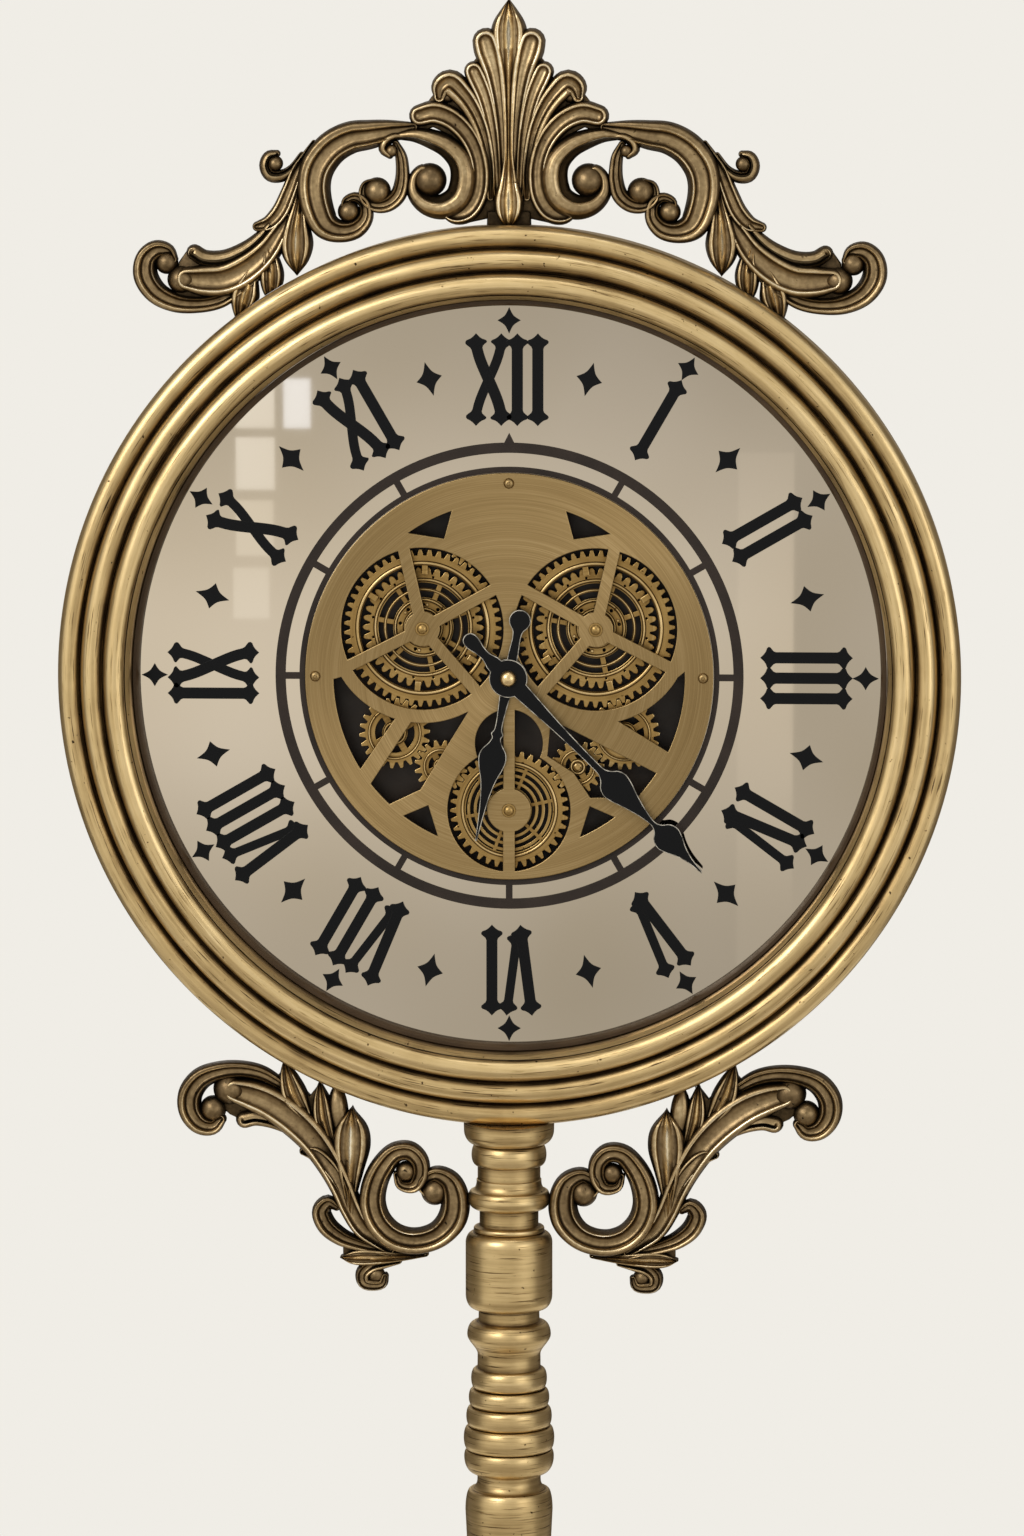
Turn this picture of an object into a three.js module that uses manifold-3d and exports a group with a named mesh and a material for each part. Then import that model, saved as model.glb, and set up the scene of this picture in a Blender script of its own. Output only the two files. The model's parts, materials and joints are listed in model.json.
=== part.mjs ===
// Floor clock: a weighted round base, a turned post, and a round reeded head with a mirror dial,
// an open train of brass wheels behind a pierced front plate, two hands, and cast scrollwork above and below.
// Millimetres, +Z up, the front faces -Y, the origin is on the floor under the middle of the base.
import * as THREE from "three";
import { mergeVertices } from "three/addons/utils/BufferGeometryUtils.js";
import Module from "manifold-3d";

const wasm = await Module();
wasm.setup();

// Clearances
const SEAT = 0.3; // gap between two pieces that rest on each other
const BORE = 0.4; // radial clearance of a shaft in its hole
const OVERRUN = 20; // how far a cutting tool runs past the metal

// Stand
const BASE_RADIUS = 180;
const BASE_EDGE = 5; // metal between the room for the ballast and the step on the rim
const BASE_HEIGHT = 96; // plinth top above its underside
const BASE_WALL = 14;
const WEIGHT_RADIUS = 140;
const WEIGHT_HEIGHT = 16;
const BOTTOM_PLATE = 3;
const FOOT_RADIUS = 15;
const FOOT_HEIGHT = 10;
const FOOT_INSET = 2; // foot edge inside the bottom plate edge
const POST_BORE = 13;
const POST_LOWER = 300;
const POST_MIDDLE = 308;
const POST_UPPER = 288; // length up to the underside of the head
const CUP = 8; // the post's top rises this far round the ring before it is cut to fit
const POST_BEAD = 27.8; // radius of the bead that the lower brackets lean on
const BEAD_DROP = 51; // that bead below the underside of the head
const SPIGOT_RADIUS = 16;
const SPIGOT_LENGTH = 12;
const TIE_ROD = 6; // radius
const NUT_RADIUS = 10;
const NUT_HEIGHT = 8;
const THIN_NUT = 5;

// Head
const RING_RADIUS = 300;
const REED_RADIUS = 7.8;
const REED_PITCH = 15.4;
const REED_STEP = 4; // each inner reed stands this much further forward
const BEZEL_DEPTH = 45;
const BEZEL_WALL = 6;
const DIAL_LIP = 6.6; // plain lip inside the reeds
const SPACER_DEPTH = 9;
const SPACER_WALL = 4;
const GLASS = 4;
const GLASS_LAP = 15; // how far the mirror reaches under the bezel
const BOARD = 9;
const DRUM_DEPTH = 34;
const DRUM_WALL = 2;
const DRUM_INSET = 11; // drum radius under the ring radius
const DOOR_RADIUS = 126;
const DOOR_LAP = 10;
const DOOR_SHEET = 2;
const SCREW_SHANK = 1.5;
const SCREW_HEAD = 3.4;
const SCREW_HEAD_HEIGHT = 1.7;
const SCREW_REACH = 6; // past the sheet that it holds
const PLATE_SCREW = 8; // end of a plate screw behind the plate
const HEAD_FORWARD = 2; // the post axis lies this far in front of the bezel's dial seat plane

// Wheel train
const TOOTH = 2; // gear module
const TOOTH_TIP = [0.86, 0.34]; // height from the pitch circle and half thickness, in modules
const TOOTH_ROOT = [-1.15, 1.06];
const GREAT_TEETH = 51;
const SECOND_TEETH = 32;
const IDLER_TEETH = 22;
const SMALL_IDLER_TEETH = 16;
const LOWER_TEETH = 38;
const PINION_TEETH = 12;
const WHEEL_GAP = 10; // between the two great wheels
const GREAT_RISE = 32; // great wheel centres above the hands
const IDLER_TURN = -105; // degrees, from a great wheel to its idler
const SMALL_IDLER_TURN = -35.6; // degrees, from that idler to the next
const PINION_TURN = 60; // degrees, from the left great wheel to the motor pinion
const WHEEL_THICK = 4;
const SECOND_THICK = 3;
const LAYER_GAP = 1.3;
const ARBOR = 2.5; // radius
const ARBOR_CAP = 4.2;
const WINDOW_GAP = 1.4; // between a wheel's tips and the window it shows in
const PLATE = 3.7;
const PLATE_RIM = 19; // width of the plate's unbroken rim
const PLATE_MARGIN = 5.5; // plate left below the lower window
const PLATE_LAP = 3; // how far the plate covers the mirror
const COLLAR = 9; // metal left round a window
const HUB = 11.7;
const LOWER_HUB = 14.7;
const SPOKE = 4; // half width
const DISH_FLOOR = 2;
const DISH_WALL = 3;
const PILLAR = 3.4;
const DISH_GAP = 5; // between the second wheels and the dish
const CHAPTER_SHEET = 1;
const CHAPTER_GAP = 2;
const CHAPTER_TRACK = 9.3; // width of the open track
const CHAPTER_BAND = 6.7;
const CHAPTER_SPOKE = 1.7; // half width
const CHAPTER_LEAN = 1; // degrees from a bar's middle to the long opening at twelve
const CHAPTER_MARK = 6.5; // height of the triangle at twelve

// Hands and movement
const TIME_MINUTES = 6 * 60 + 22.5;
const HAND_SHEET = 1.5;
const HAND_GAP = 2;
const HOUR_LENGTH = 112;
const MINUTE_LENGTH = 183;
const HAND_HUB = 12.7;
const MINUTE_ARBOR = 2.4;
const HOUR_TUBE = 4.5;
const HAND_NUT = 5.2;
const MOVEMENT = 56;
const MOVEMENT_DEPTH = 16;
const MOTOR_RADIUS = 14;
const MOTOR_DEPTH = 18;
const KNOB_DROP = 16;
const KNOB_RADIUS = 9;
const KNOB_HEIGHT = 8;
const KNOB_STEM = 2.5;
const CELL_RADIUS = 7.2;
const CELL_LENGTH = 50.5;
const HOLDER_WALL = 4;
const HOLDER_DROP = 76;
const HATCH_LAP = 5;

// Scrollwork
const SCROLL_THICK = 20;
const PEDESTAL = 14.5; // half width of the crest's foot
const PEDESTAL_HEIGHT = 12;
const ORNAMENT_SCREW = 16; // length
const BRACKET_SCREW = 97; // from the bracket's end at the post to its screw

// Facet counts
const ROUND = 40;
const TURNED = 16;
const SMALL_ROUND = 10;

const headBite = SCREW_HEAD_HEIGHT / 2; // a shank runs this far into its head
const rad = THREE.MathUtils.degToRad;
const point = (x, y) => new THREE.Vector2(x, y);
const polar = (x, y, r, degrees) => point(x + r * Math.cos(rad(degrees)), y + r * Math.sin(rad(degrees)));

// Points along an arc, in degrees, both ends included.
function arc(x, y, r, from, to, steps) {
  return Array.from({ length: steps + 1 }, (_, i) => polar(x, y, r, from + ((to - from) * i) / steps));
}

function circle(x, y, r, steps) {
  return arc(x, y, r, 0, 360, steps).slice(0, steps);
}

// A geometry as one closed surface: shared vertices merged, empty faces dropped, faces pointing out.
function closed(geometry) {
  const bare = geometry.index ? geometry.toNonIndexed() : geometry.clone();
  bare.deleteAttribute("normal");
  bare.deleteAttribute("uv");
  const merged = mergeVertices(bare, 1e-4);
  const at = merged.getAttribute("position");
  const corner = (i) => new THREE.Vector3().fromBufferAttribute(at, i);
  const faces = [];
  let volume = 0;
  for (let i = 0; i < merged.index.count; i += 3) {
    const [a, b, c] = [0, 1, 2].map((k) => merged.index.getX(i + k));
    if (a === b || b === c || c === a) continue;
    faces.push(a, b, c);
    volume += corner(a).dot(corner(b).cross(corner(c)));
  }
  if (volume < 0) faces.reverse();
  merged.setIndex(faces);
  return merged;
}

function solid(geometry) {
  const mesh = closed(geometry);
  const vertProperties = new Float32Array(mesh.getAttribute("position").array);
  const triVerts = new Uint32Array(mesh.index.array);
  return new wasm.Manifold(new wasm.Mesh({ numProp: 3, vertProperties, triVerts }));
}

function geometryOf(body) {
  const mesh = body.getMesh();
  const geometry = new THREE.BufferGeometry();
  geometry.setAttribute("position", new THREE.BufferAttribute(new Float32Array(mesh.vertProperties), 3));
  geometry.setIndex(new THREE.BufferAttribute(new Uint32Array(mesh.triVerts), 1));
  return geometry;
}

function join(...geometries) {
  return geometryOf(geometries.map(solid).reduce((whole, next) => whole.add(next)));
}

function cut(geometry, ...tools) {
  return geometryOf(tools.map(solid).reduce((left, tool) => left.subtract(tool), solid(geometry)));
}

// The same body with the points dropped that move its surface less than a small distance.
function simplified(geometry, distance) {
  return geometryOf(solid(geometry).simplify(distance));
}

// A ring or disc turned about Y: the profile holds [radius, y] pairs.
function turnedY(profile, sides = ROUND) {
  const loop = profile[0][0] > 0 ? [...profile, profile[0]] : profile;
  return closed(new THREE.LatheGeometry(loop.map(([r, y]) => point(r, y)), sides));
}

// The same about Z: the profile holds [radius, z] pairs.
function turnedZ(profile, sides = TURNED) {
  return turnedY(profile, sides).rotateX(Math.PI / 2);
}

// A flat piece seen from the front: the outline is in X and Z.
// Its thickness runs from y = 0 to the front.
function sheet(outline, thickness, holes = []) {
  const shape = new THREE.Shape(outline);
  shape.holes = holes.map((hole) => new THREE.Path(hole));
  const made = new THREE.ExtrudeGeometry(shape, { depth: thickness, bevelEnabled: false });
  return closed(made).rotateX(Math.PI / 2);
}

// A round bar along Y between two depths.
function barY(x, z, r, front, back, sides = SMALL_ROUND) {
  return turnedY([[0, front], [r, front], [r, back], [0, back]], sides).translate(x, 0, z);
}

const FINISH = {
  antique_brass: { color: 0xa8854a, roughness: 0.38, metalness: 0.9 },
  cast_bronze: { color: 0x7d6138, roughness: 0.45, metalness: 0.9 },
  brushed_brass: { color: 0xb08d50, roughness: 0.35, metalness: 1 },
  black_enamel: { color: 0x16171a, roughness: 0.4, metalness: 0.1 },
  bronze_ring: { color: 0x40362e, roughness: 0.5, metalness: 0.4 },
  tinted_mirror: { color: 0xb4a68e, roughness: 0.12, metalness: 1 },
  dark_steel: { color: 0x2c2723, roughness: 0.6, metalness: 0.6 },
  zinc_steel: { color: 0x9a9a98, roughness: 0.4, metalness: 1 },
  cast_iron: { color: 0x3a3835, roughness: 0.7, metalness: 0.6 },
  fibreboard: { color: 0x8a6f4e, roughness: 0.9, metalness: 0 },
  black_plastic: { color: 0x1d1d1f, roughness: 0.5, metalness: 0 },
  rubber: { color: 0x222222, roughness: 0.9, metalness: 0 },
};

const clock = new THREE.Group();
const head = new THREE.Group();
clock.add(head);

function add(parent, name, geometry, finish, x = 0, y = 0, z = 0, turn = 0) {
  const mesh = new THREE.Mesh(geometry, new THREE.MeshStandardMaterial(FINISH[finish]));
  mesh.name = name;
  mesh.position.set(x, y, z);
  mesh.rotation.y = turn;
  parent.add(mesh);
  return mesh;
}

// Heights, from the floor up
const plinthFoot = FOOT_HEIGHT;
const plinthTop = plinthFoot + BASE_HEIGHT;
const middleFoot = plinthTop + POST_LOWER;
const upperFoot = middleFoot + POST_MIDDLE;
const headUnderside = upperFoot + POST_UPPER;
const headCentre = headUnderside + RING_RADIUS;
head.position.set(0, HEAD_FORWARD, headCentre);

// Depths in the head, from the dial's front face at zero; the front is negative
const dialSeat = 0;
const dialOpening = RING_RADIUS - REED_PITCH * 2 - REED_RADIUS * 2 - DIAL_LIP;
const glassBack = SEAT + GLASS;
const bezelBack = glassBack + BOARD + SEAT * 2;
const bezelFront = bezelBack - BEZEL_DEPTH;
const drumFront = bezelBack + SEAT;
const drumBack = drumFront + DRUM_DEPTH;
const drumRadius = RING_RADIUS - DRUM_INSET;
const postDepth = -HEAD_FORWARD;
// A flat face inside the ring's wall clears the middle of a facet by this much.
const wallSeat = BEZEL_WALL + SEAT + RING_RADIUS * (1 - Math.cos(Math.PI / ROUND));

// Base: plinth, ballast, bottom plate and four feet
function base() {
  const neck = POST_BEAD + 14;
  const hollow = BASE_RADIUS - BASE_WALL;
  const weightFoot = plinthFoot + BOTTOM_PLATE + SEAT;
  const ceiling = weightFoot + WEIGHT_HEIGHT + SEAT;
  const rim = ceiling + BASE_EDGE;
  const slope = plinthTop - rim;
  const rodHole = TIE_ROD + BORE;
  const plinth = [
    [BASE_RADIUS, plinthFoot], [BASE_RADIUS, rim], [BASE_RADIUS - 8, rim + 5], [BASE_RADIUS - 14, rim + 5],
    [BASE_RADIUS * 0.72, rim + slope * 0.3], [BASE_RADIUS * 0.45, rim + slope * 0.52],
    [neck + 6, rim + slope * 0.75], [neck + 9, rim + slope * 0.84], [neck, plinthTop],
    [POST_BORE, plinthTop], [POST_BORE, ceiling + BASE_WALL], [rodHole, ceiling + BASE_WALL],
    [rodHole, ceiling], [hollow, ceiling], [hollow, plinthFoot],
  ];
  add(clock, "base_plinth", turnedZ(plinth, 32), "antique_brass");
  const weight = [[WEIGHT_RADIUS, 0], [WEIGHT_RADIUS, WEIGHT_HEIGHT], [rodHole, WEIGHT_HEIGHT], [rodHole, 0]];
  add(clock, "base_weight", turnedZ(weight, 24), "cast_iron", 0, 0, weightFoot);
  const plateEdge = hollow - SEAT;
  const plate = [[plateEdge, 0], [plateEdge, BOTTOM_PLATE], [rodHole, BOTTOM_PLATE], [rodHole, 0]];
  add(clock, "base_bottom_plate", turnedZ(plate, 32), "dark_steel", 0, 0, plinthFoot);
  const foot = [[0, 0], [FOOT_RADIUS - 2, 0], [FOOT_RADIUS, FOOT_HEIGHT - SEAT], [0, FOOT_HEIGHT - SEAT]];
  for (let i = 0; i < 4; i += 1) {
    const place = polar(0, 0, plateEdge - FOOT_INSET - FOOT_RADIUS, 45 + 90 * i);
    add(clock, `base_foot_${i + 1}`, turnedZ(foot, 12), "rubber", place.x, place.y);
  }
}

// A bead on a turned post, from a neck radius out to its full radius and back, going up.
function bead(neck, full, foot, height) {
  return [[neck, foot], [full, foot + height * 0.3], [full, foot + height * 0.65], [neck, foot + height]];
}

// Post: three turned tubes stacked with spigots and drawn together by a rod through them
function post() {
  const tube = (outside, length, spigotUp, socketDown) => {
    const socket = SPIGOT_RADIUS + SEAT;
    const depth = SPIGOT_LENGTH + SEAT;
    const tip = length + SPIGOT_LENGTH;
    const spigot = [[SPIGOT_RADIUS, length], [SPIGOT_RADIUS, tip], [POST_BORE, tip]];
    const top = spigotUp ? spigot : [[POST_BORE, length]];
    const foot = socketDown ? [[POST_BORE, depth], [socket, depth], [socket, 0]] : [[POST_BORE, 0]];
    return turnedZ([...outside, ...top, ...foot]);
  };
  const lower = [
    [36, 0], [36, 10], ...bead(25, 33, 14, 22), [24, 52], [27, 110], [31, POST_LOWER - 96],
    [30, POST_LOWER - 78], ...bead(23, 29, POST_LOWER - 66, 20), [22, POST_LOWER - 40],
    [29, POST_LOWER - 30], [29, POST_LOWER - SEAT],
  ];
  const middle = [
    [29, 0], [29, 10], [22, 22], ...bead(22, 28, 34, 20), [21, 62],
    [24, 74], [28, 120], [30, 168], [28, 196], [22, 212], ...bead(22, 27, 222, 20), [21, POST_MIDDLE - 44],
    [22, POST_MIDDLE - 38], [29, POST_MIDDLE - 24], [29.5, POST_MIDDLE - SEAT],
  ];
  // Heights on the upper tube are measured down from the underside of the head.
  const down = (drop) => POST_UPPER - drop;
  const upper = [
    [29.5, 0], [29, down(263)], [21.5, down(251)], [22.5, down(244.5)], [29.5, down(237)], [30.2, down(222)],
    [28.2, down(218)], [29.7, down(208)], [26.8, down(204)], [28, down(194)], [25.2, down(191)],
    [26.5, down(181)], [23.4, down(178.5)], [24.6, down(172)], [21, down(168)], [21, down(159.6)],
    [28, down(148)], [28, down(142)], [20.5, down(136)], [20.5, down(129.3)], [24, down(126.4)],
    [29, down(117.6)], [29, down(84)], [27, down(78.5)], [22, down(73)], [19.5, down(71)], [19.5, down(61)],
    [POST_BEAD, down(BEAD_DROP + 4)], [POST_BEAD, down(BEAD_DROP - 4)], [21, down(39.5)], [21, down(29.6)],
    [24.8, down(26)], [24.8, down(18)], [24, down(15)], [30, down(7)], [30, down(-CUP)],
  ];
  add(clock, "post_lower", tube(lower, POST_LOWER, true, false), "antique_brass", 0, 0, plinthTop + SEAT);
  add(clock, "post_middle", tube(middle, POST_MIDDLE, true, true), "antique_brass", 0, 0, middleFoot + SEAT);
  const saddle = barY(0, headCentre - upperFoot - SEAT, RING_RADIUS + SEAT, -BASE_RADIUS, BASE_RADIUS, ROUND);
  const seated = cut(tube(upper, POST_UPPER + CUP, false, true), saddle);
  add(clock, "post_upper", seated, "antique_brass", 0, 0, upperFoot + SEAT);

  const rodTop = headUnderside + wallSeat + NUT_HEIGHT + 3;
  const rod = [[0, 0], [TIE_ROD, 0], [TIE_ROD, rodTop - 3], [0, rodTop - 3]];
  add(clock, "tie_rod", turnedZ(rod, SMALL_ROUND), "zinc_steel", 0, 0, 3);
  const thread = circle(0, 0, TIE_ROD + BORE, SMALL_ROUND);
  const nut = (height) => sheet(circle(0, 0, NUT_RADIUS, 6), height, [thread]).rotateX(-Math.PI / 2);
  add(clock, "tie_rod_nut_upper", nut(NUT_HEIGHT), "zinc_steel", 0, 0, headUnderside + wallSeat);
  const lowerFoot = plinthFoot - THIN_NUT - SEAT;
  add(clock, "tie_rod_nut_lower", nut(THIN_NUT), "zinc_steel", 0, 0, lowerFoot);
}

// Three half-round reeds, from the outer one in, each standing a step further forward.
function reeds() {
  const front = bezelFront + REED_RADIUS;
  const points = [];
  for (let i = 0; i < 3; i += 1) {
    const r = RING_RADIUS - REED_RADIUS - REED_PITCH * i;
    const y = front + REED_STEP * (2 - i);
    const from = i === 0 ? 0 : -28;
    const to = i === 2 ? -180 : -160;
    arc(r, y, REED_RADIUS, from, to, 3).forEach((p) => points.push([p.x, p.y]));
  }
  return points;
}

// Case: bezel, dial spacer, mirror, backing board, drum and rear door
function headCase(plateRadius) {
  const glassEdge = dialOpening + GLASS_LAP;
  const rebate = glassEdge + SEAT;
  const rib = rebate + BEZEL_WALL;
  const wall = RING_RADIUS - BEZEL_WALL;
  const channel = postDepth - NUT_RADIUS - 1;
  const lip = RING_RADIUS - REED_PITCH * 2 - REED_RADIUS * 2;
  const spacerEdge = dialOpening + SPACER_WALL;
  const profile = [
    ...reeds(), [lip, bezelFront + REED_RADIUS + 3], [spacerEdge + SEAT, -SPACER_DEPTH - SEAT],
    [spacerEdge + SEAT, dialSeat], [rebate, dialSeat], [rebate, bezelBack], [rib, bezelBack], [rib, channel],
    [wall, channel], [wall, bezelBack], [RING_RADIUS, bezelBack],
  ];
  const [holeFoot, holeTop] = [-RING_RADIUS - OVERRUN, -wall + OVERRUN];
  const rodSide = TIE_ROD + BORE;
  const rodHole = turnedZ([[0, holeFoot], [rodSide, holeFoot], [rodSide, holeTop], [0, holeTop]], SMALL_ROUND)
    .translate(0, postDepth, 0);
  const ornamentHoles = ornamentScrewPlaces().map((place) =>
    ornamentScrewBar(SCREW_SHANK + BORE, place, OVERRUN, OVERRUN));
  add(head, "bezel", cut(turnedY(profile), rodHole, ...ornamentHoles), "antique_brass");
  ornamentScrewPlaces().forEach((place) => {
    const cap = ornamentScrewBar(SCREW_HEAD, place, wallSeat + SCREW_HEAD_HEIGHT, -wallSeat);
    const shank = ornamentScrewBar(SCREW_SHANK, place, wallSeat + headBite, ORNAMENT_SCREW - BEZEL_WALL);
    add(head, `${place.name}_screw`, join(cap, shank), "zinc_steel");
  });

  const spacer = [
    [spacerEdge, -SEAT], [spacerEdge, -SPACER_DEPTH], [dialOpening + 1.5, -SPACER_DEPTH],
    [dialOpening, -SPACER_DEPTH + 4], [dialOpening, -SEAT],
  ];
  add(head, "dial_spacer_ring", turnedY(spacer), "bronze_ring", 0, SEAT);
  const hole = plateRadius - PLATE_LAP;
  const mirror = [[glassEdge, SEAT], [glassEdge, glassBack], [hole, glassBack], [hole, SEAT]];
  add(head, "mirror_dial", turnedY(mirror), "tinted_mirror");
  const boardHole = plateRadius + DISH_WALL + 8;
  const boardBack = glassBack + SEAT + BOARD;
  const board = [[glassEdge, glassBack + SEAT], [glassEdge, boardBack], [boardHole, boardBack],
    [boardHole, glassBack + SEAT]];
  add(head, "dial_backing_board", turnedY(board), "fibreboard");

  const doorway = DOOR_RADIUS - DOOR_LAP;
  const flange = glassEdge - GLASS_LAP;
  const drum = [
    [drumRadius, drumFront], [drumRadius, drumBack], [doorway, drumBack], [doorway, drumBack - DRUM_WALL],
    [drumRadius - DRUM_WALL, drumBack - DRUM_WALL], [drumRadius - DRUM_WALL, drumFront + DRUM_WALL],
    [flange, drumFront + DRUM_WALL], [flange, drumFront],
  ];
  const screwCircle = DOOR_RADIUS - DOOR_LAP / 2;
  const screwPlaces = [45, 135, 225, 315].map((turn) => polar(0, 0, screwCircle, turn));
  const screwHoles = screwPlaces.map((p) => barY(p.x, p.y, SCREW_SHANK + BORE, 0, drumBack + OVERRUN));
  add(head, "case_drum", cut(turnedY(drum), ...screwHoles), "dark_steel");

  const doorFront = drumBack + SEAT;
  const hatchWidth = CELL_LENGTH + SEAT * 2;
  const hatchHeight = CELL_RADIUS * 4 + SEAT * 3;
  const hatch = rectangle(0, -HOLDER_DROP, hatchWidth, hatchHeight);
  const stemHole = circle(0, -KNOB_DROP, KNOB_STEM + BORE, SMALL_ROUND);
  const screwOutlines = screwPlaces.map((p) => circle(p.x, p.y, SCREW_SHANK + BORE, 8));
  const door = sheet(circle(0, 0, DOOR_RADIUS, ROUND), DOOR_SHEET, [hatch, stemHole, ...screwOutlines]);
  add(head, "rear_door", door, "dark_steel", 0, doorFront + DOOR_SHEET);
  const doorBack = doorFront + DOOR_SHEET;
  screwPlaces.forEach((p, i) => {
    const shank = barY(0, 0, SCREW_SHANK, drumBack - SCREW_REACH, doorBack + SEAT + headBite, 8);
    const cap = barY(0, 0, SCREW_HEAD, doorBack + SEAT, doorBack + SEAT + SCREW_HEAD_HEIGHT);
    add(head, `rear_door_screw_${i + 1}`, join(shank, cap), "zinc_steel", p.x, 0, p.y);
  });
  return { doorBack, hatchWidth, hatchHeight };
}

function rectangle(x, z, width, height) {
  const [w, h] = [width / 2, height / 2];
  return [point(x - w, z - h), point(x + w, z - h), point(x + w, z + h), point(x - w, z + h)];
}

// A toothed outline: straight flanks, thinned for backlash, with tooth 0 centred on angle `turn` in radians.
function gearOutline(teeth, turn) {
  const pitch = pitchRadius(teeth);
  const side = ([rise, half], sign, i) => {
    const r = pitch + rise * TOOTH;
    const angle = turn + (i * 2 * Math.PI) / teeth + (sign * half * TOOTH) / r;
    return point(r * Math.cos(angle), r * Math.sin(angle));
  };
  const corners = [[TOOTH_ROOT, -1], [TOOTH_TIP, -1], [TOOTH_TIP, 1], [TOOTH_ROOT, 1]];
  const tooth = (i) => corners.map(([place, sign]) => side(place, sign, i));
  return Array.from({ length: teeth }, (_, i) => tooth(i)).flat();
}

const pitchRadius = (teeth) => (TOOTH * teeth) / 2;
const tipRadius = (teeth) => pitchRadius(teeth) + TOOTH_TIP[0] * TOOTH;
const spread = (a, b) => pitchRadius(a) + pitchRadius(b);

// The turn that puts a gear in mesh with a driver, both seen from the front.
function meshTurn(driver, teeth, centre) {
  const along = Math.atan2(centre.y - driver.centre.y, centre.x - driver.centre.x);
  const slip = pitchRadius(driver.teeth) * (driver.turn - along) + (Math.PI * TOOTH) / 2;
  return along + Math.PI - slip / pitchRadius(teeth);
}

// The openings between the spokes of a wheel or a bridge.
function spokeWindows(x, y, hub, rim, spokes, halfWidth, rimSteps, hubSteps) {
  const lean = (r) => THREE.MathUtils.radToDeg(Math.asin(halfWidth / r));
  return spokes.map((from, i) => {
    const to = i + 1 < spokes.length ? spokes[i + 1] : spokes[0] + 360;
    const outer = arc(x, y, rim, from + lean(rim), to - lean(rim), rimSteps);
    const inner = arc(x, y, hub, to - lean(hub), from + lean(hub), hubSteps);
    return [...outer, ...inner];
  });
}

const evenSpokes = (count, first) => Array.from({ length: count }, (_, i) => first + (360 * i) / count);

// Centres and turns of the seven wheels and the motor pinion, in mesh at rest
function layTrain() {
  const greatX = tipRadius(GREAT_TEETH) + WHEEL_GAP / 2;
  const reach = (from, distance, degrees) => polar(from.x, from.y, distance, degrees);
  const left = point(-greatX, GREAT_RISE);
  const idler = reach(left, spread(GREAT_TEETH, IDLER_TEETH), IDLER_TURN);
  const small = reach(idler, spread(IDLER_TEETH, SMALL_IDLER_TEETH), SMALL_IDLER_TURN);
  const drop = Math.sqrt(spread(SMALL_IDLER_TEETH, LOWER_TEETH) ** 2 - small.x ** 2);
  const mirrored = (p) => point(-p.x, p.y);
  const pinion = reach(left, spread(GREAT_TEETH, PINION_TEETH), PINION_TURN);
  const wheel = (teeth, centre, driver) => {
    const turn = driver ? meshTurn(driver, teeth, centre) : 0;
    return { teeth, centre, turn };
  };
  const train = { left_great: wheel(GREAT_TEETH, left) };
  train.left_idler = wheel(IDLER_TEETH, idler, train.left_great);
  train.left_small_idler = wheel(SMALL_IDLER_TEETH, small, train.left_idler);
  train.lower = wheel(LOWER_TEETH, point(0, small.y - drop), train.left_small_idler);
  train.right_small_idler = wheel(SMALL_IDLER_TEETH, mirrored(small), train.lower);
  train.right_idler = wheel(IDLER_TEETH, mirrored(idler), train.right_small_idler);
  train.right_great = wheel(GREAT_TEETH, mirrored(left), train.right_idler);
  train.drive_pinion = wheel(PINION_TEETH, pinion, train.left_great);
  return train;
}

// Depths of the wheel layers, behind the front plate
const plateBack = 0;
const plateFront = plateBack - PLATE;
const wheelFront = plateBack + LAYER_GAP;
const wheelBack = wheelFront + WHEEL_THICK;
const secondFront = wheelBack + LAYER_GAP;
const secondBack = secondFront + SECOND_THICK;
const dishFront = secondBack + DISH_GAP;
const dishBack = dishFront + DISH_FLOOR;

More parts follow.
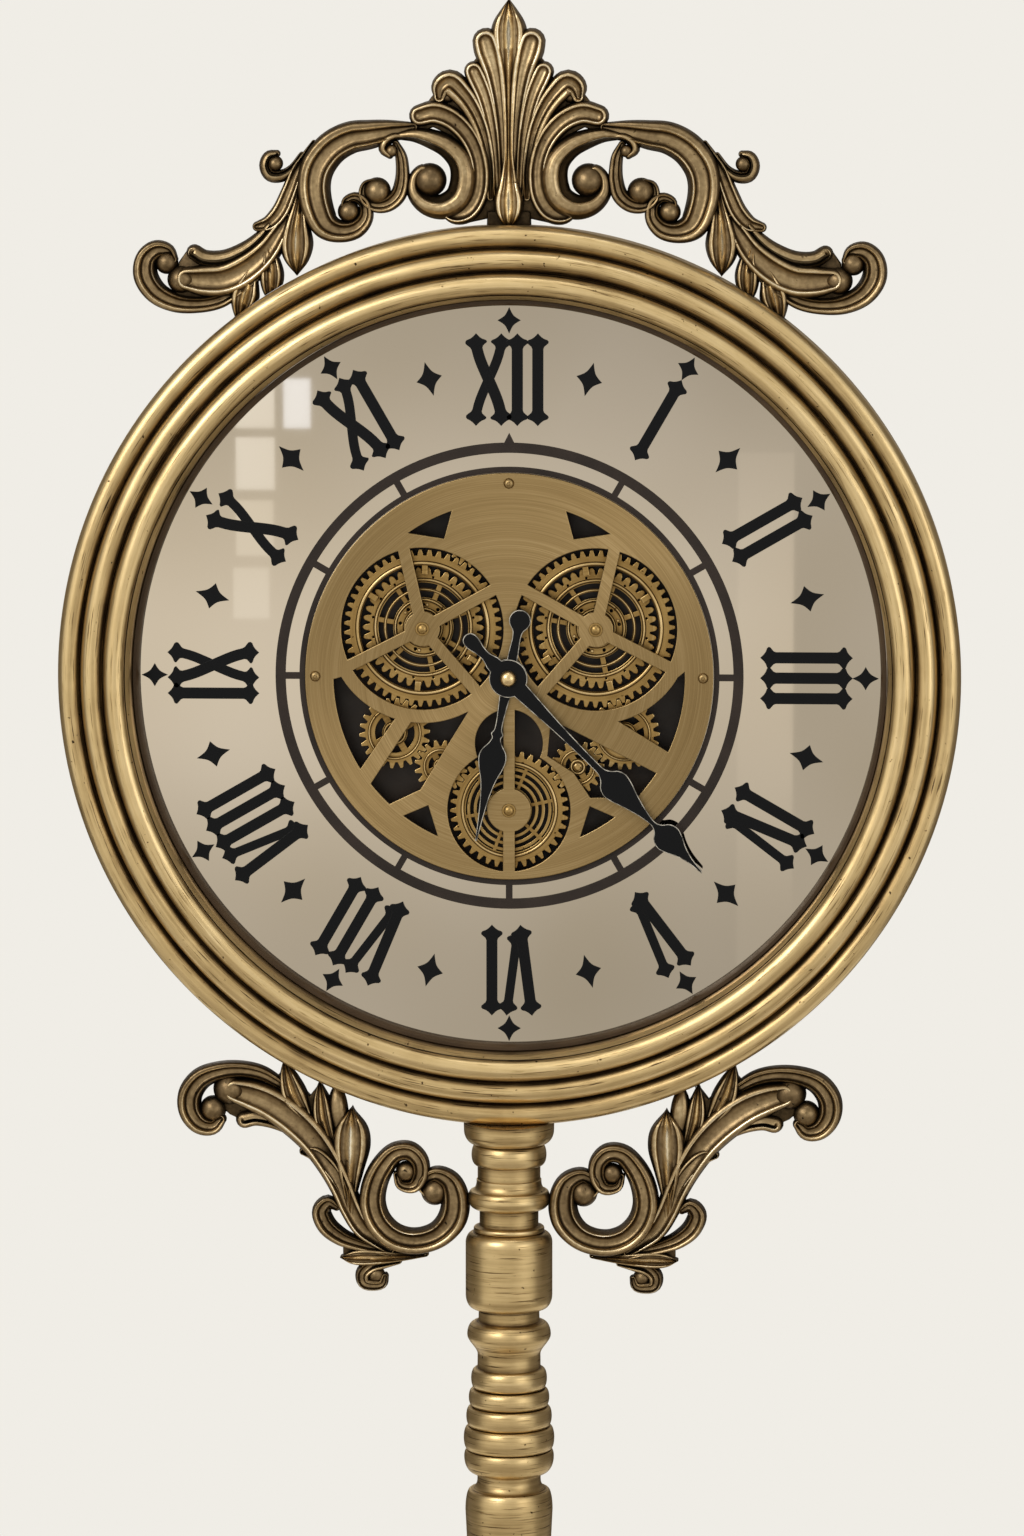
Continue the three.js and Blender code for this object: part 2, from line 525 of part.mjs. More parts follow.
// Wheels on their arbors
function wheels(train) {
  const hole = (r) => circle(0, 0, r, SMALL_ROUND);
  const fitted = hole(ARBOR + SEAT);
  const arbor = [
    [0, plateFront - SEAT - 2], [ARBOR_CAP - 1.2, plateFront - SEAT - 2], [ARBOR_CAP, plateFront - SEAT - 1],
    [ARBOR_CAP, plateFront - SEAT], [ARBOR, plateFront - SEAT], [ARBOR, dishBack], [0, dishBack],
  ];
  ["left", "right"].forEach((side) => {
    const { centre, turn } = train[`${side}_great`];
    const rim = pitchRadius(GREAT_TEETH) - TOOTH * 4;
    const windows = spokeWindows(0, 0, 10, rim, evenSpokes(5, 18), 1.8, 6, 2);
    const great = sheet(gearOutline(GREAT_TEETH, turn), WHEEL_THICK, [fitted, ...windows]);
    add(head, `${side}_great_wheel`, great, "brushed_brass", centre.x, wheelBack, centre.y);
    const tip = rim - 1.5;
    const outline = Array.from({ length: SECOND_TEETH * 2 }, (_, i) =>
      polar(0, 0, i % 2 ? tip : tip - 4.5, (180 * i) / SECOND_TEETH));
    const openings = spokeWindows(0, 0, 9, tip - 11, evenSpokes(4, 40), 2, 6, 2);
    const second = sheet(outline, SECOND_THICK, [fitted, ...openings]);
    add(head, `${side}_second_wheel`, second, "brushed_brass", centre.x, secondBack, centre.y);
    add(head, `${side}_arbor`, turnedY(arbor, SMALL_ROUND), "brushed_brass", centre.x, 0, centre.y);
  });
  const lower = train.lower;
  const lowerRim = pitchRadius(LOWER_TEETH) - TOOTH * 4;
  const lowerWindows = spokeWindows(0, 0, 9, lowerRim, evenSpokes(5, 72), 1.6, 6, 2);
  const lowerWheel = sheet(gearOutline(LOWER_TEETH, lower.turn), WHEEL_THICK, [fitted, ...lowerWindows]);
  add(head, "lower_wheel", lowerWheel, "brushed_brass", lower.centre.x, wheelBack, lower.centre.y);
  add(head, "lower_arbor", turnedY(arbor, SMALL_ROUND), "brushed_brass", lower.centre.x, 0, lower.centre.y);
  ["left_idler", "left_small_idler", "right_small_idler", "right_idler", "drive_pinion"].forEach((name) => {
    const { teeth, centre, turn } = train[name];
    const gear = sheet(gearOutline(teeth, turn), WHEEL_THICK).translate(0, wheelBack, 0);
    const shaft = barY(0, 0, ARBOR, plateBack + SEAT, dishBack);
    add(head, name, join(gear, shaft), "brushed_brass", centre.x, 0, centre.y);
  });
}

// Pierced front plate, its dish behind the mirror, and the three screws that clamp them
function plates(train, plateRadius) {
  const rim = plateRadius - PLATE_RIM;
  const great = tipRadius(GREAT_TEETH) + WINDOW_GAP;
  const lowerWindow = tipRadius(LOWER_TEETH) + WINDOW_GAP;
  const [l, r, low] = [train.left_great.centre, train.right_great.centre, train.lower.centre];
  const collar = great + COLLAR;
  const onRim = (share, degrees) => polar(0, 0, rim * share, degrees);
  const rimArc = (from, to, steps) => arc(0, 0, rim, from, to, steps);
  const left = [...rimArc(181, 212, 3), ...arc(l.x, l.y, collar, 253, 211, 4)];
  const leftLow = [...arc(l.x, l.y, collar, 263, 299, 4), onRim(0.82, 232), ...rimArc(227, 218, 1)];
  const right = [...rimArc(-25, 2, 3), ...arc(r.x, r.y, collar, -30, -76, 4)];
  const rightLow = [
    onRim(0.34, -45), onRim(0.5, -64), onRim(0.66, -56), onRim(0.83, -56), ...rimArc(-43, -33, 1),
  ];
  const corner = (from, to, inner) => [...rimArc(from, to, 2), onRim(0.87, inner)];
  // The lower wheel's window opens upwards into a smaller round one, and a bar runs down the middle.
  const eye = { y: low.y + lowerWindow + 4, r: lowerWindow * 0.55 };
  const gap = eye.y - low.y;
  const meet = (gap * gap + lowerWindow ** 2 - eye.r ** 2) / (2 * gap);
  const across = Math.sqrt(lowerWindow ** 2 - meet ** 2);
  const turnOf = (x, y) => THREE.MathUtils.radToDeg(Math.atan2(y, x));
  const keyhole = [
    ...arc(0, eye.y, eye.r, 90 - turnOf(eye.r, SPOKE), turnOf(across, meet - gap), 5),
    ...arc(0, low.y, lowerWindow, turnOf(across, meet), -90 + turnOf(lowerWindow, SPOKE), 10).slice(1),
    ...arc(0, low.y, LOWER_HUB, -90 + turnOf(LOWER_HUB, SPOKE), 90 - turnOf(LOWER_HUB, SPOKE), 6),
  ];
  const mirrored = keyhole.map((p) => point(-p.x, p.y)).reverse();
  const bridges = [
    ...spokeWindows(l.x, l.y, HUB, great, [-49, 29, 103, 207], SPOKE, 6, 2),
    ...spokeWindows(r.x, r.y, HUB, great, [-27, 77, 151, 229], SPOKE, 6, 2),
  ];
  const shaft = (p, radius, steps = SMALL_ROUND) => circle(p.x, p.y, radius, steps);
  const pillarCircle = plateRadius - PLATE_LAP - PILLAR - BORE;
  const pillars = [90, 180, 0].map((turn) => polar(0, 0, pillarCircle, turn));
  const holes = [
    left, leftLow, right, rightLow, corner(109, 125, 115), corner(71, 55, 65).reverse(),
    corner(-53, -66, -58), corner(233, 246, 238), keyhole, mirrored, ...bridges,
    shaft(point(0, 0), HOUR_TUBE + BORE), ...[l, r, low].map((p) => shaft(p, ARBOR + BORE, 8)),
    ...pillars.map((p) => shaft(p, SCREW_SHANK + BORE, 8)),
  ];
  const front = sheet(circle(0, 0, plateRadius, 60), PLATE, holes);
  add(head, "gear_front_plate", front, "brushed_brass", 0, plateBack);

  const wall = plateRadius + DISH_WALL;
  const dishProfile = [
    [0, dishBack], [wall, dishBack], [wall, glassBack + SEAT], [plateRadius, glassBack + SEAT],
    [plateRadius, dishFront], [0, dishFront],
  ];
  const posts = pillars.map((p) => barY(p.x, p.y, PILLAR, plateBack + SEAT, dishFront + DISH_FLOOR / 2));
  const shafts = Object.values(train).map(({ centre }) =>
    barY(centre.x, centre.y, ARBOR + BORE, 0, dishBack + OVERRUN));
  const screwBores = pillars.map((p) => barY(p.x, p.y, SCREW_SHANK + BORE, plateFront, PLATE_SCREW + 1, 8));
  const tubeHole = barY(0, 0, HOUR_TUBE + BORE, 0, dishBack + OVERRUN);
  const dish = cut(join(turnedY(dishProfile, 32), ...posts), ...shafts, ...screwBores, tubeHole);
  add(head, "gear_dish", dish, "dark_steel");
  pillars.forEach((p, i) => {
    const shank = barY(0, 0, SCREW_SHANK, plateFront - SEAT - headBite, PLATE_SCREW, 8);
    const cap = barY(0, 0, SCREW_HEAD, plateFront - SEAT - SCREW_HEAD_HEIGHT, plateFront - SEAT);
    add(head, `plate_screw_${i + 1}`, join(shank, cap), "brushed_brass", p.x, 0, p.y);
  });
}

// Chapter ring: a thin ring and a band joined by a bar at each hour but twelve, where a triangle stands
function chapter(plateRadius) {
  const inner = plateRadius + CHAPTER_GAP;
  const track = [inner + CHAPTER_GAP, inner + CHAPTER_GAP + CHAPTER_TRACK];
  const outer = track[1] + CHAPTER_BAND;
  const hours = evenSpokes(12, 120).slice(0, 11);
  const windows = spokeWindows(0, 0, track[0], track[1], hours, CHAPTER_SPOKE, 3, 3);
  const last = hours.length - 1;
  const [from, to] = [hours[last] + CHAPTER_LEAN, hours[0] + 360 - CHAPTER_LEAN];
  windows[last] = [...arc(0, 0, track[1], from, to, 6), ...arc(0, 0, track[0], to, from, 6)];
  const band = sheet(circle(0, 0, outer, 48), CHAPTER_SHEET, [circle(0, 0, inner, 48), ...windows]);
  const triangle = [point(-4, outer - 1), point(4, outer - 1), point(0, outer + CHAPTER_MARK)];
  const mark = sheet(triangle, CHAPTER_SHEET);
  add(head, "chapter_ring", join(band, mark), "bronze_ring");
}

// A hand's outline from [distance along it, half width] pairs on one side, pointing up.
function handOutline(stations) {
  const right = stations.map(([along, half]) => point(half, along));
  const left = stations.filter(([, half]) => half > 0).map(([along, half]) => point(-half, along)).reverse();
  return [...right, ...left];
}

// The round boss of a hand, from where the tail meets it to where a blade of half width `neck` leaves it.
function boss(neck) {
  const leave = 90 - THREE.MathUtils.radToDeg(Math.asin(neck / HAND_HUB));
  return arc(0, 0, HAND_HUB, -leave, leave, 8).map((p) => [p.y, p.x]);
}

// Hands, the tubes that carry them, and the nut
function hands() {
  const minuteTurn = rad(TIME_MINUTES * 6);
  const hourTurn = rad(TIME_MINUTES / 2);
  const hourBack = plateFront - HAND_GAP - 2;
  const minuteBack = hourBack - HAND_SHEET - HAND_GAP;
  const nutBack = minuteBack - HAND_SHEET - SEAT;
  const [h, m] = [HOUR_LENGTH, MINUTE_LENGTH];
  const hour = handOutline([
    [-46, 2.5], [-44.5, 5.6], [-39, 7.2], [-33.5, 5.4], [-30, 3.2], [-17, 3], ...boss(3.2), [19, 3.2],
    [h * 0.31, 2.6], [h * 0.34, 4], [h * 0.375, 2.8], [h * 0.44, 7.6],
    [h * 0.49, 9.3], [h * 0.55, 8], [h * 0.71, 3.2], [h * 0.86, 1.4], [h, 0],
  ]);
  const minute = handOutline([
    [-40, 2.2], [-38, 4.4], [-34, 5], [-27, 3.4], [-18, 3.2], ...boss(4.2), [m * 0.13, 4.8],
    [m * 0.3, 3], [m * 0.47, 2.6], [m * 0.525, 8.6], [m * 0.555, 10.4],
    [m * 0.59, 9], [m * 0.7, 2.8], [m * 0.75, 1.7], [m * 0.795, 8], [m * 0.825, 9.6], [m * 0.86, 7.2],
    [m * 0.93, 2], [m, 0],
  ]);
  const bore = (r) => [circle(0, 0, r + SEAT, SMALL_ROUND)];
  add(head, "hour_hand", sheet(hour, HAND_SHEET, bore(HOUR_TUBE)), "black_enamel", 0, hourBack, 0, hourTurn);
  const longHand = sheet(minute, HAND_SHEET, bore(MINUTE_ARBOR));
  add(head, "minute_hand", longHand, "black_enamel", 0, minuteBack, 0, minuteTurn);
  const tubeFront = hourBack - HAND_SHEET;
  const tubeInside = MINUTE_ARBOR + BORE;
  const tube = [
    [HOUR_TUBE, tubeFront], [HOUR_TUBE, dishBack], [tubeInside, dishBack], [tubeInside, tubeFront],
  ];
  add(head, "hour_tube", turnedY(tube, SMALL_ROUND), "brushed_brass");
  add(head, "minute_arbor", barY(0, 0, MINUTE_ARBOR, nutBack + SEAT, dishBack), "brushed_brass");
  const nut = [
    [0, nutBack - 5], [HAND_NUT * 0.5, nutBack - 4.5], [HAND_NUT * 0.85, nutBack - 3],
    [HAND_NUT, nutBack - 1], [HAND_NUT, nutBack], [0, nutBack],
  ];
  add(head, "hand_nut", turnedY(nut, 16), "brushed_brass");
}

// Movement, gear motor, setting knob and cells, between the dish and the rear door
function works(train, { doorBack, hatchWidth, hatchHeight }) {
  const worksFront = dishBack + SEAT;
  const movement = sheet(rectangle(0, 0, MOVEMENT, MOVEMENT), MOVEMENT_DEPTH);
  add(head, "movement_case", movement, "black_plastic", 0, worksFront + MOVEMENT_DEPTH);
  const { centre } = train.drive_pinion;
  const motor = barY(0, 0, MOTOR_RADIUS, worksFront, worksFront + MOTOR_DEPTH, 20);
  add(head, "drive_motor", motor, "zinc_steel", centre.x, 0, centre.y);
  const knobFront = doorBack + SEAT;
  const stemFront = worksFront + MOVEMENT_DEPTH + SEAT;
  const knob = [
    [0, stemFront], [KNOB_STEM, stemFront], [KNOB_STEM, knobFront], [KNOB_RADIUS, knobFront],
    [KNOB_RADIUS, knobFront + KNOB_HEIGHT - 1],
    [KNOB_RADIUS - 1, knobFront + KNOB_HEIGHT], [0, knobFront + KNOB_HEIGHT],
  ];
  add(head, "setting_knob", turnedY(knob, SMALL_ROUND), "black_plastic", 0, 0, -KNOB_DROP);

  const holderBack = drumBack - SEAT;
  const holderDepth = CELL_RADIUS * 2 + SEAT * 2 + HOLDER_WALL;
  const outside = rectangle(0, 0, hatchWidth + HOLDER_WALL * 2, hatchHeight + HOLDER_WALL * 2);
  const pocket = sheet(rectangle(0, 0, hatchWidth, hatchHeight), holderDepth);
  const tray = cut(sheet(outside, holderDepth), pocket.translate(0, HOLDER_WALL, 0));
  add(head, "battery_holder", tray, "black_plastic", 0, holderBack, -HOLDER_DROP);
  const cell = turnedZ([[0, 0], [CELL_RADIUS, 0], [CELL_RADIUS, CELL_LENGTH], [0, CELL_LENGTH]], SMALL_ROUND)
    .rotateY(Math.PI / 2);
  const cellDepth = holderBack - holderDepth + HOLDER_WALL + SEAT + CELL_RADIUS;
  [1, -1].forEach((side, i) => {
    const rise = -HOLDER_DROP + side * (CELL_RADIUS + SEAT / 2);
    add(head, `battery_${i + 1}`, cell.clone(), "zinc_steel", -CELL_LENGTH / 2, cellDepth, rise);
  });
  const hatch = sheet(rectangle(0, 0, hatchWidth + HATCH_LAP * 2, hatchHeight + HATCH_LAP * 2), DOOR_SHEET);
  add(head, "battery_hatch", hatch, "black_plastic", 0, doorBack + SEAT + DOOR_SHEET, -HOLDER_DROP);
}

// A flat scroll: a curve through [x, z, width] points, as a band of that width with square ends.
function scroll(points, steps) {
  const stations = points.map(([x, z, w]) => new THREE.Vector3(x, z, w));
  const line = new THREE.CatmullRomCurve3(stations, false, "centripetal");
  const along = line.getPoints(steps);
  const edge = (sign) => along.map((p, i) => {
    const before = along[Math.max(i - 1, 0)];
    const after = along[Math.min(i + 1, along.length - 1)];
    const run = point(after.x - before.x, after.y - before.y).normalize();
    return point(p.x - (sign * run.y * p.z) / 2, p.y + (sign * run.x * p.z) / 2);
  });
  return [...edge(1), ...edge(-1).reverse()];
}

// A leaf: pointed at the tip, full in the middle, narrow at the base.
function leaf(base, tip, width) {
  const along = point(tip[0] - base[0], tip[1] - base[1]);
  const across = point(-along.y, along.x).normalize().multiplyScalar(width / 2);
  const shape = [[0, 0.35], [0.25, 0.8], [0.5, 1], [0.75, 0.78], [0.92, 0.36]];
  const at = (share, half) => point(
    base[0] + along.x * share + across.x * half, base[1] + along.y * share + across.y * half);
  const side = (sign) => shape.map(([share, half]) => at(share, half * sign));
  return [...side(1), at(1, 0), ...side(-1).reverse()];
}

// Bands, round eyes [x, z, radius] and leaves [base, tip, width] as a list of outlines
function ornamentOutlines(bands, eyes, leaves) {
  return [
    ...bands.map((band) => scroll(band, band.length + 2)),
    ...eyes.map(([x, z, r]) => circle(x, z, r, SMALL_ROUND)),
    ...leaves.map(([base, tip, width]) => leaf(base, tip, width)),
  ];
}

const otherSide = (outline) => outline.map((p) => point(-p.x, p.y)).reverse();

// Crest outlines on the right half: x from the middle, height above the top of the ring.
function crestOutlines() {
  const bands = [
    [[62, 68, 10], [82, 65, 14], [99, 64.5, 16], [114, 60, 17.5], [125, 48, 19], [129, 33, 19],
      [125.5, 17, 18], [117, 6, 17], [107, 2, 15], [98.5, 8, 12], [98, 17, 9]],
    [[66, 60, 8], [56, 62, 10], [45, 60, 11], [34, 51, 12], [28, 37, 12], [32, 22, 13], [44, 17, 13],
      [56, 21, 12]],
    [[75, 56, 7], [69, 43, 8], [68, 31, 9.5], [73, 20, 10], [83, 15, 9.5], [92, 20, 8]],
    [[66, 64, 6], [77, 61, 7], [83, 54, 7]],
    [[136, 52, 12], [143, 33, 14], [149, 18, 16], [160, -3, 17], [175, -20, 18], [195, -33, 17],
      [216, -36, 15]],
    [[156, 4, 7], [170, -13, 8], [187, -21, 9], [203, -21, 9], [211, -16, 8]],
    [[172, -28, 13], [184, -39, 14], [200, -45, 14], [217, -47, 15], [233, -42, 16], [241, -30, 15.5],
      [240, -19, 14], [231, -13, 11]],
    [[137, 50, 8], [147, 40, 9], [155, 38, 9], [160, 44, 8]],
    [[141, 36, 6], [148, 22, 10], [157, 8, 11], [165, 2, 6]],
    [[5, 40, 6], [8, 80, 8], [14, 106, 12], [18, 124, 14]],
    [[7, 40, 6], [13, 80, 7], [20, 99, 10], [26, 110, 10]],
    [[10, 40, 6], [16, 70, 8], [25, 90, 11], [37, 98, 14], [46, 95, 12]],
    [[12, 35, 6], [17, 52, 8], [28, 70, 11], [42, 80, 13], [58, 79, 13]],
    [[12, 48, 9], [14, 26, 11], [20, 13, 11], [30, 8, 10], [41, 11, 10]],
  ];
  const eyes = [
    [107, 11, 8], [51.5, 32, 10.5], [88, 26, 9], [80, 52, 6], [220, -35, 9], [212, -14, 6], [226, -20, 9.5],
    [156, 46, 6.5], [18, 124, 8], [26, 110, 5.4], [45, 95, 7], [60, 78, 6.3], [41.5, 11.5, 5.2],
  ];
  const leaves = [[[140, 22], [140.5, -28], 21], [[156, -6], [159.5, -48], 15], [[168, -22], [177, -66], 19]];
  const half = ornamentOutlines(bands, eyes, leaves);
  const spear = leaf([0, 30], [0, 152], 22);
  const drop = leaf([0, 62], [0, -1], 20);
  const foot = rectangle(0, PEDESTAL_HEIGHT / 2 - 2, PEDESTAL * 2, PEDESTAL_HEIGHT + 4);
  return [foot, spear, drop, ...half, ...half.map(otherSide)];
}

// Lower bracket outlines, right one: x from the post's bead, height above the underside of the head.
function bracketOutlines() {
  const bands = [
    [[26, -37, 8], [15, -41, 11], [7.4, -51, 14], [7.6, -66, 16], [16, -79, 17], [32, -84, 18],
      [49, -81, 18.5], [62, -71, 19], [67, -57, 19], [65, -42, 18], [58, -29, 16], [50, -22, 13],
      [40, -21, 11], [33, -28, 9]],
    [[72, -72, 8], [78, -55, 11], [83, -37, 13], [91, -20, 15], [105, -5, 17], [121, 7, 17], [139, 15, 16],
      [156, 18, 14]],
    [[122, 21, 9], [148, 32, 12], [168, 32, 14], [183, 24, 16], [187, 10, 16], [183, -1, 14], [175, -5, 12]],
    [[104, -16, 7], [121, -3, 9], [138, 2, 9], [151, -1, 9]],
    [[85, -42, 7], [90, -27, 10], [99, -18, 10], [108, -19, 6]],
    [[66, -84, 6], [80, -79, 9], [92, -74, 12], [99, -65, 12], [95, -57, 10]],
    [[30, -92, 5], [60, -92, 8], [79, -91, 11], [84, -95, 7]],
    [[63, -94, 6], [71, -101, 9], [70, -110, 9]],
  ];
  const eyes = [
    [23, -49.5, 9], [41, -36, 8.5], [161, 16, 8.5], [155, -4, 5.6], [171, 1.5, 9.5], [91, -58, 5.5],
    [62, -106.5, 11],
  ];
  const leaves = [[[77, -50], [76, 8], 26], [[94, -14], [99, 34], 14], [[110, 6], [128, 48], 19]];
  const tab = [point(82, 26), point(93, 30), point(98, 0), point(88, -8)];
  return [...ornamentOutlines(bands, eyes, leaves), tab];
}

// Where the scrollwork is screwed on from inside the bezel: an angle round the ring, clockwise from the top.
function ornamentScrewPlaces() {
  const reach = (POST_BEAD + SEAT + BRACKET_SCREW) / RING_RADIUS;
  const lean = THREE.MathUtils.radToDeg(Math.asin(reach));
  return [
    { name: "crest", turn: 0 },
    { name: "right_bracket", turn: 180 - lean },
    { name: "left_bracket", turn: 180 + lean },
  ];
}

// A radial bar through the bezel's wall, `inward` from the ring's outside and `outward` past it.
function ornamentScrewBar(r, { turn }, inward, outward) {
  const [from, to] = [RING_RADIUS - inward, RING_RADIUS + outward];
  return turnedZ([[0, from], [r, from], [r, to], [0, to]], SMALL_ROUND)
    .rotateY(rad(turn)).translate(0, postDepth, 0);
}

// Cast scrollwork, seated on the ring, with the brackets also leaning on the post
function ornaments() {
  const ring = barY(0, 0, RING_RADIUS + SEAT, -BASE_RADIUS, BASE_RADIUS, ROUND);
  const bores = ornamentScrewPlaces().map((place) =>
    ornamentScrewBar(SCREW_SHANK + BORE, place, OVERRUN, ORNAMENT_SCREW));
  const slab = (outline) => sheet(outline, SCROLL_THICK).translate(0, postDepth + SCROLL_THICK / 2, 0);
  const cast = (outlines) => simplified(join(...outlines.map(slab)), 0.3);
  const crest = cast(crestOutlines()).translate(0, 0, RING_RADIUS);
  add(head, "crest", cut(crest, ring, bores[0]), "cast_bronze");
  const [beadFoot, beadTop] = [-BEAD_DROP - OVERRUN, -BEAD_DROP + OVERRUN];
  const beadSeat = POST_BEAD + SEAT;
  const leaning = turnedZ([[0, beadFoot], [beadSeat, beadFoot], [beadSeat, beadTop], [0, beadTop]], ROUND)
    .translate(0, postDepth, -RING_RADIUS);
  const right = cast(bracketOutlines()).translate(beadSeat, 0, -RING_RADIUS);
  const left = cast(bracketOutlines().map(otherSide)).translate(-beadSeat, 0, -RING_RADIUS);
  add(head, "right_bracket", cut(right, ring, leaning, bores[1]), "cast_bronze");
  add(head, "left_bracket", cut(left, ring, leaning, bores[2]), "cast_bronze");
}

const train = layTrain();
const plateRadius = tipRadius(LOWER_TEETH) + WINDOW_GAP + PLATE_MARGIN - train.lower.centre.y;
base();
post();
const rear = headCase(plateRadius);
chapter(plateRadius);
wheels(train);
plates(train, plateRadius);
hands();
works(train, rear);
ornaments();

export default clock;
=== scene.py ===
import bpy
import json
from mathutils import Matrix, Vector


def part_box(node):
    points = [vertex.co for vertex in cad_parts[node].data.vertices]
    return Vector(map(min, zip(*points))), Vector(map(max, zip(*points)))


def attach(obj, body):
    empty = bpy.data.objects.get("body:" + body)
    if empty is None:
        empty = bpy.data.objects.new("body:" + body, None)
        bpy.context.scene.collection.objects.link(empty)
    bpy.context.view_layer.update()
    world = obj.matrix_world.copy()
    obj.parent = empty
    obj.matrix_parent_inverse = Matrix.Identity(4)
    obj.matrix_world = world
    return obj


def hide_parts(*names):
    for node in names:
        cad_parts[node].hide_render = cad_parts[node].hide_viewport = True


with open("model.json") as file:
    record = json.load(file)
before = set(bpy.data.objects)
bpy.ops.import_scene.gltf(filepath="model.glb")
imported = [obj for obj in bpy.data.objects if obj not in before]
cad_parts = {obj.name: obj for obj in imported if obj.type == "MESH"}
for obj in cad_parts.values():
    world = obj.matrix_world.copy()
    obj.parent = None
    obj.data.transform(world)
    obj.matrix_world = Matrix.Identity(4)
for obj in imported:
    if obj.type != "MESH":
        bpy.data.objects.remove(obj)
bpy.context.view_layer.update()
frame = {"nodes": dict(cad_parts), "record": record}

# Floor clock: turned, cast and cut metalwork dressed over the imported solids, in the same frame.
# Lengths in this file are millimetres unless a name says otherwise. A head piece's points are measured from
# the middle of the dial: x to the right, y away from the viewer, z up. A stand piece's are measured from the floor.

import json
import math

import bmesh
import bpy
import numpy as np
from mathutils import Vector
from mathutils.geometry import delaunay_2d_cdt

MM = 0.001
SEAT = 0.3  # gap between pieces that rest on each other
FIXED = "stand_and_case"  # the body that every still piece rides on
FLOOR = np.zeros(3)  # where a stand piece's points are measured from


# Places taken from the solids

def span(name):
    """Lowest and highest corner of a solid."""
    low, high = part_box(name)
    return np.array(low) / MM, np.array(high) / MM


ring_low, ring_high = span("bezel")
RING = (ring_high[0] - ring_low[0]) / 2
DIAL = np.array([0.0, span("mirror_dial")[0][1] - SEAT, (ring_low[2] + ring_high[2]) / 2])
POST_DEPTH = -DIAL[1]  # the post's axis, measured from the dial's face
PLATE_RADIUS = (span("gear_front_plate")[1] - span("gear_front_plate")[0])[0] / 2


def depths(name):
    """Front and back of a solid, measured from the dial's face."""
    low, high = span(name)
    return low[1] - DIAL[1], high[1] - DIAL[1]


def axis_of(name):
    """Where a round solid's axis meets the dial: right of its middle, and above it."""
    low, high = span(name)
    return ((low + high) / 2 - DIAL)[[0, 2]]


def on_dial(place):
    """The point of the frame at a place on the dial's face."""
    return DIAL + np.array([place[0], 0, place[1]])


# Materials

def linear(code):
    """An sRGB hex colour as linear red, green, blue and alpha."""
    shares = [int(code[i:i + 2], 16) / 255 for i in (0, 2, 4)]
    return (*[c / 12.92 if c <= 0.04045 else ((c + 0.055) / 1.055) ** 2.4 for c in shares], 1.0)


def node(tree, kind, inputs=None, stops=None, **settings):
    """Adds a node, with its settings, its colour stops, and a value or a link for each named input."""
    made = tree.nodes.new("ShaderNode" + kind)
    for key, value in settings.items():
        setattr(made, key, value)
    if stops:
        ramp = made.color_ramp.elements
        ramp.remove(ramp[1])
        ramp[0].position, ramp[0].color = stops[0][0], linear(stops[0][1])
        for position, code in stops[1:]:
            ramp.new(position).color = linear(code)
    for key, value in (inputs or {}).items():
        if isinstance(value, bpy.types.NodeSocket):
            tree.links.new(value, made.inputs[key])
        else:
            made.inputs[key].default_value = value
    return made


def every(size):
    """The scale that repeats a pattern once in so many millimetres."""
    return 1 / (size * MM)


def emptied(owner):
    """The node tree of a material or a world, with nothing in it."""
    owner.use_nodes = True
    owner.node_tree.nodes.clear()
    return owner.node_tree


def material(name, fixed, links=None, shader="BsdfPrincipled"):
    """A material whose shader takes fixed values and the links that a function draws in its tree."""
    made = bpy.data.materials.new(name)
    tree = emptied(made)
    surface = node(tree, shader, {**fixed, **(links(tree) if links else {})})
    node(tree, "OutputMaterial", {"Surface": surface.outputs[0]})
    return made


def cloud(tree, size, detail=4.0):
    """Soft noise of one size all over a piece."""
    place = node(tree, "TexCoord").outputs["Object"]
    made = node(tree, "TexNoise", {"Vector": place, "Scale": every(size), "Detail": detail})
    return made.outputs["Fac"]


def round_marks(tree, axis, across, along):
    """Noise drawn out along circles about an axis, as a turning tool, a brush or a polishing rag leaves it."""
    place = node(tree, "SeparateXYZ", {0: node(tree, "TexCoord").outputs["Object"]})
    side, other = [place.outputs[letter] for letter in "XYZ" if letter != axis]
    flat = node(tree, "CombineXYZ", {0: side, 1: other}).outputs[0]
    radius = node(tree, "VectorMath", {0: flat}, operation="LENGTH").outputs["Value"]
    point = node(tree, "CombineXYZ", {0: radius, 1: place.outputs[axis], 2: side}).outputs[0]
    pitch = (every(across), every(across), every(along))
    scaled = node(tree, "VectorMath", {0: point, 1: pitch}, operation="MULTIPLY").outputs[0]
    turn = node(tree, "Math", {0: other, 1: every(along)}, operation="MULTIPLY").outputs[0]
    made = node(tree, "TexNoise", {"Vector": scaled, "W": turn, "Scale": 1.0, "Detail": 3.0},
                noise_dimensions="4D")
    return made.outputs["Fac"]


